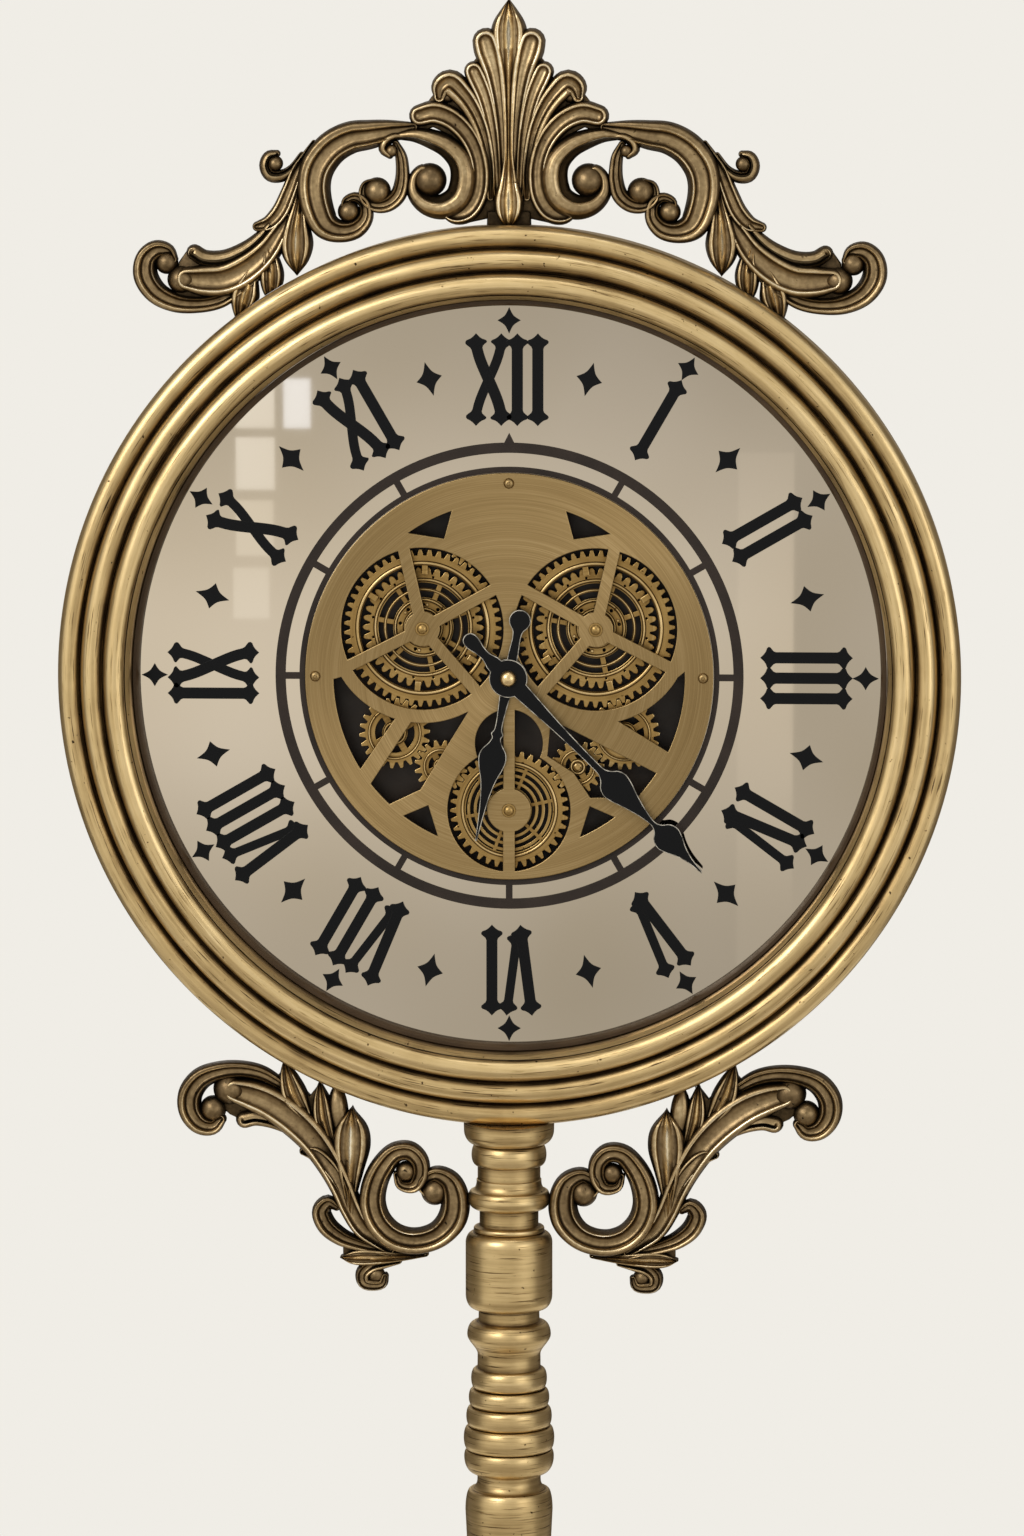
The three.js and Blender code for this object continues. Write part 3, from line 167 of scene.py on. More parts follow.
def aged(tree, stops, marks, marks_share, relief, bare_rough, wash_and_shade, scratches=None):
    """Links for a washed and rubbed finish: dark in hollows, from the wash and from painted shade, bare on high edges,
    with scratches and a few pits. The shares and the wash and shade are steps along the colour stops, and the relief is
    the height of the marks."""
    patch_size, pit_size, wash_and_shade_reach = 26.0, 3.6, 14.0
    patch_share, pit_depth, scratch_depth = 0.30, 0.40, 0.36
    wear_and_painted_light = node(tree, "Attribute", attribute_name="wear_and_painted_light").outputs["Fac"]
    patches = node(tree, "Math", {0: cloud(tree, patch_size), 1: patch_share, 2: wear_and_painted_light},
                   operation="MULTIPLY_ADD").outputs[0]
    rubbed = node(tree, "Math", {0: marks, 1: marks_share, 2: patches}, operation="MULTIPLY_ADD").outputs[0]
    # The two kinds of noise lie about a half, so half of their shares comes off again
    middle = (patch_share + marks_share) / 2
    pits = node(tree, "MapRange", {0: cloud(tree, pit_size, 2.0), 1: 0.71, 2: 0.77, 3: middle, 4: middle + pit_depth})
    # Wash and painted shade: the colour darkens where faces close in on each other, where the wash gathers and shade
    # falls
    open_air = node(tree, "AmbientOcclusion", {"Distance": wash_and_shade_reach * MM}, samples=4).outputs["AO"]
    closed = node(tree, "MapRange", {0: open_air, 1: 0.15, 2: 0.85, 3: wash_and_shade, 4: 0.0})
    darker = [pits, closed]
    if scratches:
        darker.append(node(tree, "MapRange", {0: scratches, 1: 0.58, 2: 0.70, 3: 0.0, 4: scratch_depth}))
    level = rubbed
    for layer in darker:
        level = node(tree, "Math", {0: level, 1: layer.outputs[0]}, operation="SUBTRACT").outputs[0]
    bump = node(tree, "Bump", {"Height": marks, "Strength": 0.35, "Distance": relief * MM})
    return {
        "Base Color": node(tree, "ValToRGB", {"Fac": level}, stops).outputs["Color"],
        "Roughness": node(tree, "MapRange", {0: level, 1: 0.0, 2: 0.9, 3: 0.55, 4: bare_rough}).outputs[0],
        "Normal": bump.outputs["Normal"],
    }


def clouded(name, fixed, tones, tone_size, rough, rough_size, grain=None, ends=(0.3, 0.7)):
    """An even finish: a cloud between two tones, another between two roughnesses and, where there is one, a grain given
    as its size, strength and depth. A size is in millimetres and comes with the detail of its noise."""
    def links(tree):
        tone = node(tree, "ValToRGB", {"Fac": cloud(tree, *tone_size)}, list(zip(ends, tones)))
        level = node(tree, "MapRange", {0: cloud(tree, *rough_size), 1: 0.3, 2: 0.7, 3: rough[0], 4: rough[1]})
        drawn = {"Base Color": tone.outputs["Color"], "Roughness": level.outputs[0]}
        if grain:
            size, strength, depth = grain
            bump = node(tree, "Bump", {"Height": cloud(tree, *size), "Strength": strength, "Distance": depth * MM})
            drawn["Normal"] = bump.outputs["Normal"]
        return drawn
    return material(name, fixed, links)


# Cast aluminium, brass plated, washed with brown lacquer and rubbed back round the turning: satin, with
# long streaks, brown grooves deepened by painted shade, and pale high lines
def antique_brass(axis):
    def links(tree):
        marks = round_marks(tree, axis, 2.2, 70.0)
        scratches = round_marks(tree, axis, 0.9, 26.0)
        stops = [(0.04, "1A130C"), (0.24, "594731"), (0.44, "A98F62"), (0.62, "CFB583"), (0.80, "E3CA99"),
                 (1.0, "F9E8C0")]
        return aged(tree, stops, marks, marks_share=0.46, relief=0.3, bare_rough=0.26, wash_and_shade=0.12, scratches=scratches)
    return material("antique_brass_plate_" + axis, {"Metallic": 1.0}, links)


# Cast aluminium, bronze plated, with a heavier wash and painted shade: brown hollows and thin bare ridges
def antique_bronze():
    def links(tree):
        stops = [(0.06, "1C160F"), (0.24, "413525"), (0.44, "725F44"), (0.60, "A18A65"), (0.78, "DAC49B"),
                 (0.98, "FFF6DF")]
        return aged(tree, stops, cloud(tree, 3.0), marks_share=0.26, relief=0.25, bare_rough=0.20, wash_and_shade=0.25)
    return material("antique_bronze_casting", {"Metallic": 1.0}, links)


# Sheet brass, brushed round its middle and lacquered: fine rings and a drawn-out gloss
def brushed_brass():
    def links(tree):
        # The real brush lines are a tenth of a millimetre wide, and are drawn coarser so that they show
        fine = round_marks(tree, "Y", 0.5, 70.0)
        broad = round_marks(tree, "Y", 7.0, 160.0)
        mixed = node(tree, "Math", {0: broad, 1: 0.4, 2: fine}, operation="MULTIPLY_ADD").outputs[0]
        stops = [(0.40, "856E48"), (0.70, "967E55"), (1.0, "AC946A")]
        bump = node(tree, "Bump", {"Height": fine, "Strength": 0.2, "Distance": 0.1 * MM})
        return {
            "Base Color": node(tree, "ValToRGB", {"Fac": mixed}, stops).outputs["Color"],
            "Roughness": node(tree, "MapRange", {0: fine, 1: 0.3, 2: 0.7, 3: 0.30, 4: 0.44}).outputs[0],
            "Normal": bump.outputs["Normal"],
            "Tangent": node(tree, "Tangent", direction_type="RADIAL", axis="Y").outputs["Tangent"],
        }
    return material("brushed_sheet_brass", {"Metallic": 1.0, "Anisotropic": 0.7}, links)


# Cut brass wheels, turned and left to tarnish: brown in the roots, deepened by painted shade, brighter on the tooth
# edges
def wheel_brass():
    def links(tree):
        marks = round_marks(tree, "Y", 1.2, 30.0)
        stops = [(0.05, "1C130A"), (0.3, "4A361B"), (0.55, "83673A"), (0.75, "A18451"), (1.0, "E2C794")]
        return aged(tree, stops, marks, marks_share=0.30, relief=0.15, bare_rough=0.27, wash_and_shade=0.26)
    return material("tarnished_cut_brass", {"Metallic": 1.0}, links)


# Steel dipped in or sprayed with black enamel: near black and half gloss, with a painted highlight on the rounded
# edges, pale on the hands and faint on the numerals
def black_enamel(name, edge_highlight_tone):
    def links(tree):
        normal = node(tree, "SeparateXYZ", {0: node(tree, "TexCoord").outputs["Normal"]})
        lean = node(tree, "Math", {0: normal.outputs["Y"]}, operation="ABSOLUTE").outputs[0]
        # The rounded edge lies between the face, which points straight out, and the side, which points away
        edge = node(tree, "Math", {0: lean, 1: 0.64, 2: 0.32}, operation="COMPARE").outputs[0]
        patchy = node(tree, "MapRange", {0: cloud(tree, 6.0), 1: 0.3, 2: 0.6, 3: 0.35, 4: 1.0}).outputs[0]
        # Painted highlight: the rounded edge is lightened, patchily along its length
        edge_highlight = node(tree, "Math", {0: edge, 1: patchy}, operation="MULTIPLY").outputs[0]
        stops = [(0.0, "0B0C0E"), (0.3, "121315"), (1.0, edge_highlight_tone)]
        peel = node(tree, "Bump", {"Height": cloud(tree, 2.5), "Strength": 0.08, "Distance": 0.1 * MM})
        return {
            "Base Color": node(tree, "ValToRGB", {"Fac": edge_highlight}, stops).outputs["Color"],
            "Roughness": node(tree, "MapRange", {0: cloud(tree, 18.0), 1: 0.3, 2: 0.7, 3: 0.34, 4: 0.46}).outputs[0],
            "Normal": peel.outputs["Normal"],
        }
    return material(name, {"IOR": 1.5, "Specular IOR Level": 0.12}, links)


# Steel ring sprayed with bronze lacquer: dark brown satin with a faint cloud
def bronze_lacquer(name, dark, light):
    return clouded(name, {"IOR": 1.5, "Specular IOR Level": 0.2}, (dark, light), tone_size=(30.0, 4.0),
                   rough=(0.36, 0.5), rough_size=(8.0, 4.0), grain=((1.5, 4.0), 0.1, 0.1))


# Bronze tinted float glass, silvered behind: a beige mirror with a faint unevenness
def tinted_mirror():
    return clouded("silvered_bronze_glass", {"Metallic": 1.0}, ("B3A794", "BCB1A1"), tone_size=(170.0, 1.0),
                   rough=(0.012, 0.02), rough_size=(40.0, 2.0))


# Sheet steel under brown powder coat: fine grained, half matt, almost black
def powder_coat(name, dark, light, shine):
    # The real grain is about 0.3 mm, and is drawn coarser so that it shows
    return clouded(name, {"IOR": 1.5, "Specular IOR Level": shine}, (dark, light), tone_size=(24.0, 4.0),
                   rough=(0.36, 0.48), rough_size=(9.0, 4.0), grain=((1.0, 2.0), 0.25, 0.15))


# Zinc plated steel, barrel plated: cool grey with a soft spangle
def zinc_plate():
    return clouded("barrel_plated_zinc", {"Metallic": 1.0}, ("9C9D9B", "C4C5C2"), tone_size=(3.0, 4.0),
                   rough=(0.28, 0.45), rough_size=(2.0, 4.0))


# Grey iron cast in sand: dull, grainy, with a film of oil
def cast_iron():
    return clouded("sand_cast_iron", {"Metallic": 0.8}, ("2F2D2B", "4A4744"), tone_size=(12.0, 4.0),
                   rough=(0.6, 0.8), rough_size=(6.0, 4.0), grain=((2.0, 4.0), 0.5, 0.4))


# Pressed fibreboard, sawn: brown, matt, with short felted fibres
def fibreboard():
    return clouded("pressed_fibreboard", {"IOR": 1.5}, ("6E5437", "9A7B56"), tone_size=(2.5, 6.0), ends=(0.25, 0.75),
                   rough=(0.8, 0.95), rough_size=(10.0, 4.0), grain=((1.5, 4.0), 0.3, 0.2))


# ABS moulded in a spark-eroded tool: black, even, finely pebbled
def moulded_abs():
    return clouded("moulded_black_abs", {"IOR": 1.53}, ("17181A", "232427"), tone_size=(14.0, 4.0),
                   rough=(0.45, 0.58), rough_size=(7.0, 4.0), grain=((0.8, 2.0), 0.2, 0.1))


# Printed film shrunk on a steel can: charcoal with a copper coloured end, glossy
def cell_film():
    def links(tree):
        end = 25.0 * MM  # half of a cell's length
        place = node(tree, "SeparateXYZ", {0: node(tree, "TexCoord").outputs["Object"]})
        across = node(tree, "MapRange", {0: place.outputs["X"], 1: -end, 2: end, 3: 0.0, 4: 1.0}).outputs[0]
        ripple = node(tree, "Math", {0: cloud(tree, 4.0), 1: 0.02, 2: across}, operation="MULTIPLY_ADD").outputs[0]
        stops = [(0.0, "26272A"), (0.68, "2C2D31"), (0.70, "9A6A3C"), (1.0, "A87546")]
        return {
            "Base Color": node(tree, "ValToRGB", {"Fac": ripple}, stops).outputs["Color"],
            "Roughness": node(tree, "MapRange", {0: cloud(tree, 5.0), 1: 0.3, 2: 0.7, 3: 0.22, 4: 0.34}).outputs[0],
        }
    return material("printed_cell_film", {"IOR": 1.5}, links)


# Moulded rubber: black, matt, dusty
def moulded_rubber():
    return clouded("moulded_rubber", {"IOR": 1.52}, ("141414", "232220"), tone_size=(9.0, 4.0),
                   rough=(0.75, 0.92), rough_size=(5.0, 4.0), grain=((1.5, 4.0), 0.25, 0.2))


ring_brass = antique_brass("Y")
post_brass = antique_brass("Z")
spacer_lacquer = bronze_lacquer("sprayed_brown_lacquer", "40301F", "52402C")
numeral_enamel = black_enamel("sprayed_black_enamel", "232220")
dish_coat = powder_coat("dark_brown_powder_coat", "1D150E", "2C2117", 0.25)
# The finish of each material slot of the record
FINISH = {
    "antique_brass": ring_brass,
    "antique_bronze": antique_bronze(),
    "brushed_brass": brushed_brass(),
    "wheel_brass": wheel_brass(),
    "bronze_ring": bronze_lacquer("sprayed_bronze_lacquer", "261F1A", "352B25"),
    "black_enamel": black_enamel("dipped_black_enamel_edge_highlight", "D2CCBE"),
    "tinted_mirror": tinted_mirror(),
    "black_steel": powder_coat("brown_powder_coat", "2D2722", "342D27", 0.5),
    "zinc_steel": zinc_plate(),
    "cast_iron": cast_iron(),
    "fibreboard": fibreboard(),
    "black_plastic": moulded_abs(),
    "cell_case": cell_film(),
    "rubber": moulded_rubber(),
}


# Making pieces

PLAIN_WEAR = 0.56  # of a face with neither edge nor groove near it


def hollows(mesh, rub):
    """For each point, how far it stands out: near 0 in a groove, PLAIN_WEAR on a plain face, 1 on a sharp edge."""
    def read(rows, field, width, kind=float):
        values = np.empty(len(rows) * width, kind)
        rows.foreach_get(field, values)
        return values.reshape(-1, width)

    points, normals = read(mesh.vertices, "co", 3), read(mesh.vertex_normals, "vector", 3)
    edges = read(mesh.edges, "vertices", 2, int)
    start, end = np.vstack([edges, edges[:, ::-1]]).T
    count = len(points)
    run = points[end] - points[start]
    rise = np.einsum("ij,ij->i", run, normals[start]) / np.maximum(np.linalg.norm(run, axis=1), 1e-9)
    neighbours = np.maximum(np.bincount(start, minlength=count), 1)
    bend = np.bincount(start, rise, count) / neighbours
    for _ in range(2):
        bend = 0.5 * bend + 0.5 * np.bincount(start, bend[end], count) / neighbours
    return np.clip(PLAIN_WEAR - rub * bend, 0.0, 1.0)


def piece(name, solids, slot, body=FIXED, stands_for=(), origin=DIAL, crease=35.0, finish=None, rub=1.5):
    """One object of closed solids, each given as points, faces, and the wear and painted light of its points or None.
    Edges that turn by more than `crease` degrees stay sharp, and `rub` is how strongly they are rubbed bare."""
    points, faces, wear_and_painted_light = [], [], []
    for solid_points, solid_faces, solid_wear in solids:
        start = sum(len(p) for p in points)
        points.append(np.asarray(solid_points, float))
        faces += [tuple(int(i) + start for i in face) for face in solid_faces]
        wear_and_painted_light.append(np.full(len(solid_points), np.nan) if solid_wear is None else np.asarray(solid_wear, float))
    mesh = bpy.data.meshes.new(name)
    mesh.from_pydata((np.vstack(points) * MM).tolist(), [], faces)
    shape = bmesh.new()
    shape.from_mesh(mesh)
    bmesh.ops.recalc_face_normals(shape, faces=shape.faces)
    shape.to_mesh(mesh)
    shape.free()
    mesh.shade_smooth()
    mesh.set_sharp_from_angle(angle=math.radians(crease))
    given = np.concatenate(wear_and_painted_light)
    worn = np.where(np.isnan(given), hollows(mesh, rub), given)
    mesh.attributes.new("wear_and_painted_light", "FLOAT", "POINT").data.foreach_set("value", worn)
    mesh.materials.append(finish or FINISH[slot])
    made = bpy.data.objects.new(name, mesh)
    made.location = origin * MM
    bpy.context.scene.collection.objects.link(made)
    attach(made, body)
    if stands_for:
        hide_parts(*stands_for)


def turned(profile, axis="Z", sides=96, middle=(0.0, 0.0, 0.0)):
    """A closed solid turned about an axis: the profile's points are radius, height and, if known, wear and painted
    light.
    """
    points, rings, faces, wear_and_painted_light = [], [], [], []
    for radius, height, *worn in profile:
        around = 1 if radius < 1e-6 else sides
        rings.append([len(points) + (k if around > 1 else 0) for k in range(sides)])
        for k in range(around):
            turn = 2 * math.pi * k / sides
            a, b = radius * math.sin(turn), radius * math.cos(turn)
            points.append((a, height, b) if axis == "Y" else (a, b, height))
            wear_and_painted_light += worn
    closed = profile[0][0] > 1e-6 or profile[-1][0] > 1e-6
    for one, two in zip(rings, rings[1:] + rings[:1] if closed else rings[1:]):
        for k in range(sides):
            loop = [one[k], one[k - 1], two[k - 1], two[k]]
            face = [i for n, i in enumerate(loop) if i != loop[n - 1]]
            if len(face) > 2:
                faces.append(face)
    return np.array(points) + np.array(middle), faces, wear_and_painted_light or None


def placed(solid, move=(0, 0, 0), flip=(1, 1, 1)):
    """A solid turned over along the axes that `flip` gives as -1, and then moved."""
    points, faces, wear_and_painted_light = solid
    return points * np.array(flip) + np.array(move), faces, wear_and_painted_light


def arc(x, z, radius, start, stop, steps):
    """Points along an arc, angles in degrees anticlockwise from the right, both ends included."""
    turn = np.radians(np.linspace(start, stop, steps + 1))
    return np.column_stack([x + radius * np.cos(turn), z + radius * np.sin(turn)])


def circle(x, z, radius, steps=96):
    return arc(x, z, radius, 0, 360, steps)[:-1]


def shifted(loop, distance):
    """A closed outline moved to its left by a distance."""
    ahead = np.roll(loop, -1, axis=0) - loop
    ahead /= np.maximum(np.linalg.norm(ahead, axis=1, keepdims=True), 1e-9)
    left = np.column_stack([-ahead[:, 1], ahead[:, 0]])
    before = np.roll(left, 1, axis=0)
    spread = 1 + np.sum(left * before, axis=1, keepdims=True)
    return loop + (left + before) / np.maximum(spread, 0.4) * distance


def wound(loop, anticlockwise):
    """The outline without repeated points, turned round if it runs the other way."""
    loop = np.asarray(loop, float)
    loop = loop[np.linalg.norm(loop - np.roll(loop, 1, axis=0), axis=1) > 1e-3]
    x, z = loop.T
    area = np.sum(x * np.roll(z, -1) - np.roll(x, -1) * z)
    return loop[:: 1 if (area > 0) == anticlockwise else -1]


def filled(flat, sizes):
    """Triangles that fill outlines given one after the other and leave their holes open, or None if lines cross."""
    edges = [(a + k, a + (k + 1) % (b - a)) for a, b in zip(sizes, sizes[1:]) for k in range(b - a)]
    found = delaunay_2d_cdt([Vector(point) for point in flat], edges, [], 1, 1e-6)
    if len(found[0]) != len(flat):
        return None
    triangles = np.array([[found[3][i][0] for i in face] for face in found[2]])
    middle = flat[triangles].mean(axis=1)
    a, b = flat[[e[0] for e in edges]], flat[[e[1] for e in edges]]
    x, z = middle[:, :1], middle[:, 1:]
    rise = np.where(a[:, 1] == b[:, 1], 1.0, b[:, 1] - a[:, 1])
    crossed = ((a[:, 1] > z) != (b[:, 1] > z)) & (x < a[:, 0] + (b[:, 0] - a[:, 0]) * (z - a[:, 1]) / rise)
    return triangles[crossed.sum(axis=1) % 2 == 1].tolist()


def plate(outline, front, thickness, edge=0.3, holes=()):
    """A flat solid seen from the front, with a small rounded edge on its face."""
    loops = [wound(outline, True)] + [wound(hole, False) for hole in holes]
    rounds = [(1.0, 0.0), (0.29, 0.29), (0.0, 1.0)]  # shares of the edge: inwards, and back from the face
    layers = [(edge * inward, front + edge * back) for inward, back in rounds] + [(0.0, front + thickness)]
    points, faces, starts = [], [], []
    for inward, depth in layers:
        starts.append(len(points))
        for loop in loops:
            points += [(x, depth, z) for x, z in shifted(loop, inward)]
    begin = 0
    for loop in loops:
        size = len(loop)
        for near, far in zip(starts, starts[1:]):
            for k in range(size):
                following = (k + 1) % size
                faces.append((near + begin + k, near + begin + following, far + begin + following, far + begin + k))
        begin += size
    sizes = np.cumsum([0] + [len(loop) for loop in loops])
    for start in (starts[0], starts[-1]):
        flat = np.array(points[start:start + sizes[-1]])[:, [0, 2]]
        cap = filled(flat, sizes)
        if cap is None and edge > 0.005:
            # The outline is too tight for this edge, so it gets a finer one
            return plate(outline, front, thickness, edge * 0.6, holes)
        faces += [tuple(start + i for i in face) for face in cap]
    return np.array(points), faces, None


def rounded(width, height, radius, steps=6):
    """A rectangle about the origin with round corners."""
    w, h = width / 2 - radius, height / 2 - radius
    corners = [(w, h, 0), (-w, h, 90), (-w, -h, 180), (w, -h, 270)]
    return np.vstack([arc(x, z, radius, turn, turn + 90, steps) for x, z, turn in corners])


def smooth(points, step):
    """Evenly spaced points on a smooth curve through points with any number of values, spaced by the first two."""
    points = np.asarray(points, float)
    chord = np.sqrt(np.maximum(np.linalg.norm(np.diff(points[:, :2], axis=0), axis=1), 1e-6))
    knots = np.concatenate([[0], np.cumsum(chord)])
    slopes = np.gradient(points, knots, axis=0)
    fine = np.linspace(0, knots[-1], 16 * len(points))
    k = np.clip(np.searchsorted(knots, fine, "right") - 1, 0, len(points) - 2)
    gap = (knots[k + 1] - knots[k])[:, None]
    t = ((fine - knots[k])[:, None]) / gap
    curve = ((2 * t**3 - 3 * t**2 + 1) * points[k] + (t**3 - 2 * t**2 + t) * gap * slopes[k]
             + (3 * t**2 - 2 * t**3) * points[k + 1] + (t**3 - t**2) * gap * slopes[k + 1])
    length = np.concatenate([[0], np.cumsum(np.linalg.norm(np.diff(curve[:, :2], axis=0), axis=1))])
    even = np.linspace(0, length[-1], max(int(length[-1] / step), 3) + 1)
    return np.column_stack([np.interp(even, length, column) for column in curve.T])


def turning(moves, steps=12):
    """A turned profile. A move is its kind, a radius and a height: "to" runs straight there, "sweep" eases into the
    new radius, "round" and "cove" are quarter turns that bulge and hollow, and "bead" swells out and comes back."""
    points = []
    for kind, radius, height in moves:
        start, foot = points[-1] if points else (radius, height)
        if kind == "to":
            cuts = max(1, round(math.hypot(radius - start, height - foot) / 2.5))
            points += [(start + (radius - start) * k / cuts, foot + (height - foot) * k / cuts)
                       for k in range(1, cuts + 1)]
            continue
        swells = (radius > start) == (kind == "round")
        for share in np.linspace(0, 1, steps + 1)[1:]:
            turn = math.pi / 2 * share
            out, up = share**2 * (3 - 2 * share), share
            if kind == "bead":
                out, up = math.sin(2 * turn) ** 0.9, (1 - math.cos(2 * turn)) / 2
            elif kind in ("round", "cove"):
                out, up = (math.sin(turn), 1 - math.cos(turn)) if swells else (1 - math.cos(turn), math.sin(turn))
            points.append((start + (radius - start) * out, foot + (height - foot) * up))
    return points


# Stand

ROD_BORE = 13.0  # radius of the way up the middle of the stand


def base():
    low, high = span("base_plinth")
    foot, top, edge = low[2], high[2], high[0]
    hollow = span("base_bottom_plate")[1][0] + SEAT
    ceiling = span("base_weight")[1][2] + SEAT
    rim = ceiling + 5
    waist = edge * 0.43
    outside = turning([
        ("to", edge - 2.5, foot), ("sweep", edge, foot + 3), ("to", edge, foot + 8), ("to", edge - 2, foot + 9),
        ("to", edge - 2, foot + 10), ("bead", edge, rim), ("to", edge - 8, rim + 1.5), ("sweep", edge - 14, rim + 5),
        ("sweep", waist, rim + 38), ("to", waist - 2, rim + 39), ("sweep", 48, rim + 53),
        ("to", 46, rim + 54), ("bead", 51, top - 9), ("to", 44, top - 8.5), ("sweep", 42, top - SEAT),
    ])
    step = ceiling + 14
    inside = [(ROD_BORE, top - SEAT), (ROD_BORE, step), (ROD_BORE - 5, step), (ROD_BORE - 5, ceiling),
              (hollow, ceiling), (hollow, foot)]
    piece("plinth_turning", [turned(outside + inside, sides=160)], "antique_brass", stands_for=["base_plinth"],
          origin=FLOOR, finish=post_brass, rub=1.2)
    for k in range(1, 5):
        name = f"base_foot_{k}"
        low, high = span(name)
        tall, wide = high[2], (high[0] - low[0]) / 2
        profile = [(0, 0), (wide - 3, 0), (wide - 2.2, 0.4), (wide - 2, 1.2), (wide - 0.6, tall - 1.5),
                   (wide - 0.9, tall), (0, tall)]
        middle = ((low[0] + high[0]) / 2, (low[1] + high[1]) / 2, 0)
        piece(f"foot_pad_{k}", [turned(profile, sides=40, middle=middle)], "rubber", stands_for=[name], origin=FLOOR)


def post():
    lower = [
        ("to", 33.4, 0), ("bead", 36, 11), ("to", 28, 12), ("cove", 25, 20), ("to", 25, 24), ("round", 33, 34),
        ("round", 26.5, 44), ("to", 24.2, 46), ("to", 24, 56), ("to", 26, 57), ("bead", 28, 65), ("to", 24.6, 66),
        ("sweep", 31, 196), ("round", 26.5, 218), ("cove", 22.4, 232), ("to", 22.4, 238), ("to", 24, 239),
        ("round", 29.6, 248), ("round", 24, 257), ("to", 21.6, 259), ("to", 21.6, 268), ("cove", 24, 274),
        ("round", 29, 284), ("to", 29, 299.7),
    ]
    middle = [
        ("to", 28.6, 0), ("to", 29.2, 1), ("to", 29.2, 8), ("round", 25, 15), ("cove", 21.6, 22), ("to", 21.4, 32),
        ("to", 23, 33), ("round", 28.2, 41), ("round", 23.6, 49), ("to", 20.6, 51), ("to", 20.4, 60), ("to", 23.6, 61),
        ("bead", 25.4, 69), ("to", 23, 70), ("sweep", 29.6, 160), ("round", 26, 186), ("cove", 21.6, 204),
        ("to", 21.4, 220), ("to", 23, 221), ("round", 27.8, 229), ("round", 23.6, 237), ("to", 20.8, 239),
        ("to", 20.6, 262), ("cove", 24, 270), ("round", 28.4, 284), ("to", 28.4, 307.7),
    ]
    upper = [
        ("to", 28.4, 0), ("to", 29.5, 22), ("round", 26.4, 36), ("cove", 21.4, 43), ("to", 21.3, 46),
        ("cove", 23.8, 47.8), ("round", 30.3, 58.6), ("round", 28.6, 63.4), ("to", 27.8, 63.8), ("bead", 30.6, 79.4),
        ("to", 26.2, 79.8), ("bead", 28.9, 93), ("to", 24.5, 93.4), ("bead", 27.2, 105.2), ("to", 22.7, 105.6),
        ("bead", 25.6, 119.2), ("to", 21.3, 119.8), ("to", 21.2, 129), ("sweep", 28.2, 142.5), ("round", 23.4, 151),
        ("to", 20.6, 152), ("to", 20.4, 160), ("to", 23.8, 160.8), ("round", 29.2, 170), ("to", 29.2, 205.6),
        ("round", 24, 212.6), ("to", 23, 213.2), ("bead", 23.8, 216.4), ("to", 19.8, 217.4), ("to", 19.8, 228),
        ("to", 21.4, 228.6), ("round", 27.6, 235.2), ("round", 25.2, 241.2), ("cove", 21.8, 247.6), ("to", 21.8, 248.6),
        ("to", 21.1, 249), ("to", 21.1, 258), ("to", 21.8, 258.4), ("round", 25.2, 265.2), ("round", 22.4, 272.6),
        ("to", 23.2, 273), ("round", 30.3, 282.4), ("to", 30.6, 296),
    ]
    for name, moves in (("post_lower", lower), ("post_middle", middle), ("post_upper", upper)):
        foot = span(name)[0][2]
        profile = [(radius, height + foot) for radius, height in turning(moves)]
        profile += [(ROD_BORE, profile[-1][1]), (ROD_BORE, profile[0][1])]
        points, faces, wear_and_painted_light = turned(profile, sides=112)
        # The cup at the top is cut to the ring's curve
        seat = DIAL[2] - np.sqrt((RING + SEAT) ** 2 - points[:, 0] ** 2)
        points[:, 2] = np.minimum(points[:, 2], seat)
        piece(name + "_turning", [(points, faces, wear_and_painted_light)], "antique_brass", stands_for=[name], origin=FLOOR,
              finish=post_brass, rub=1.2)


# Head

REED = 7.6  # radius
REED_PITCH = 15.4
REED_STEP = 4.0  # each inner reed stands this much further forward
# From the outer reed to the inner one: first and last angle of its round, shares of the way across it and the wear
# and painted light there. Each reed is lightest on its outer shoulder, a painted highlight, and darker in the grooves
# and on the side that faces the dial, where the wash lies, deepened by painted shade.
REEDS = [
    (0, -162, [0, 0.1, 0.22, 0.5, 0.68, 0.82, 0.94, 1], [0.56, 0.58, 0.74, 0.60, 0.50, 0.40, 0.32, 0.26]),
    (-14, -162, [0, 0.1, 0.22, 0.5, 0.68, 0.82, 0.94, 1], [0.30, 0.58, 0.74, 0.60, 0.50, 0.40, 0.32, 0.26]),
    (-14, -152, [0, 0.12, 0.3, 0.6, 0.85, 1], [0.28, 0.44, 0.64, 0.68, 0.60, 0.40]),
]


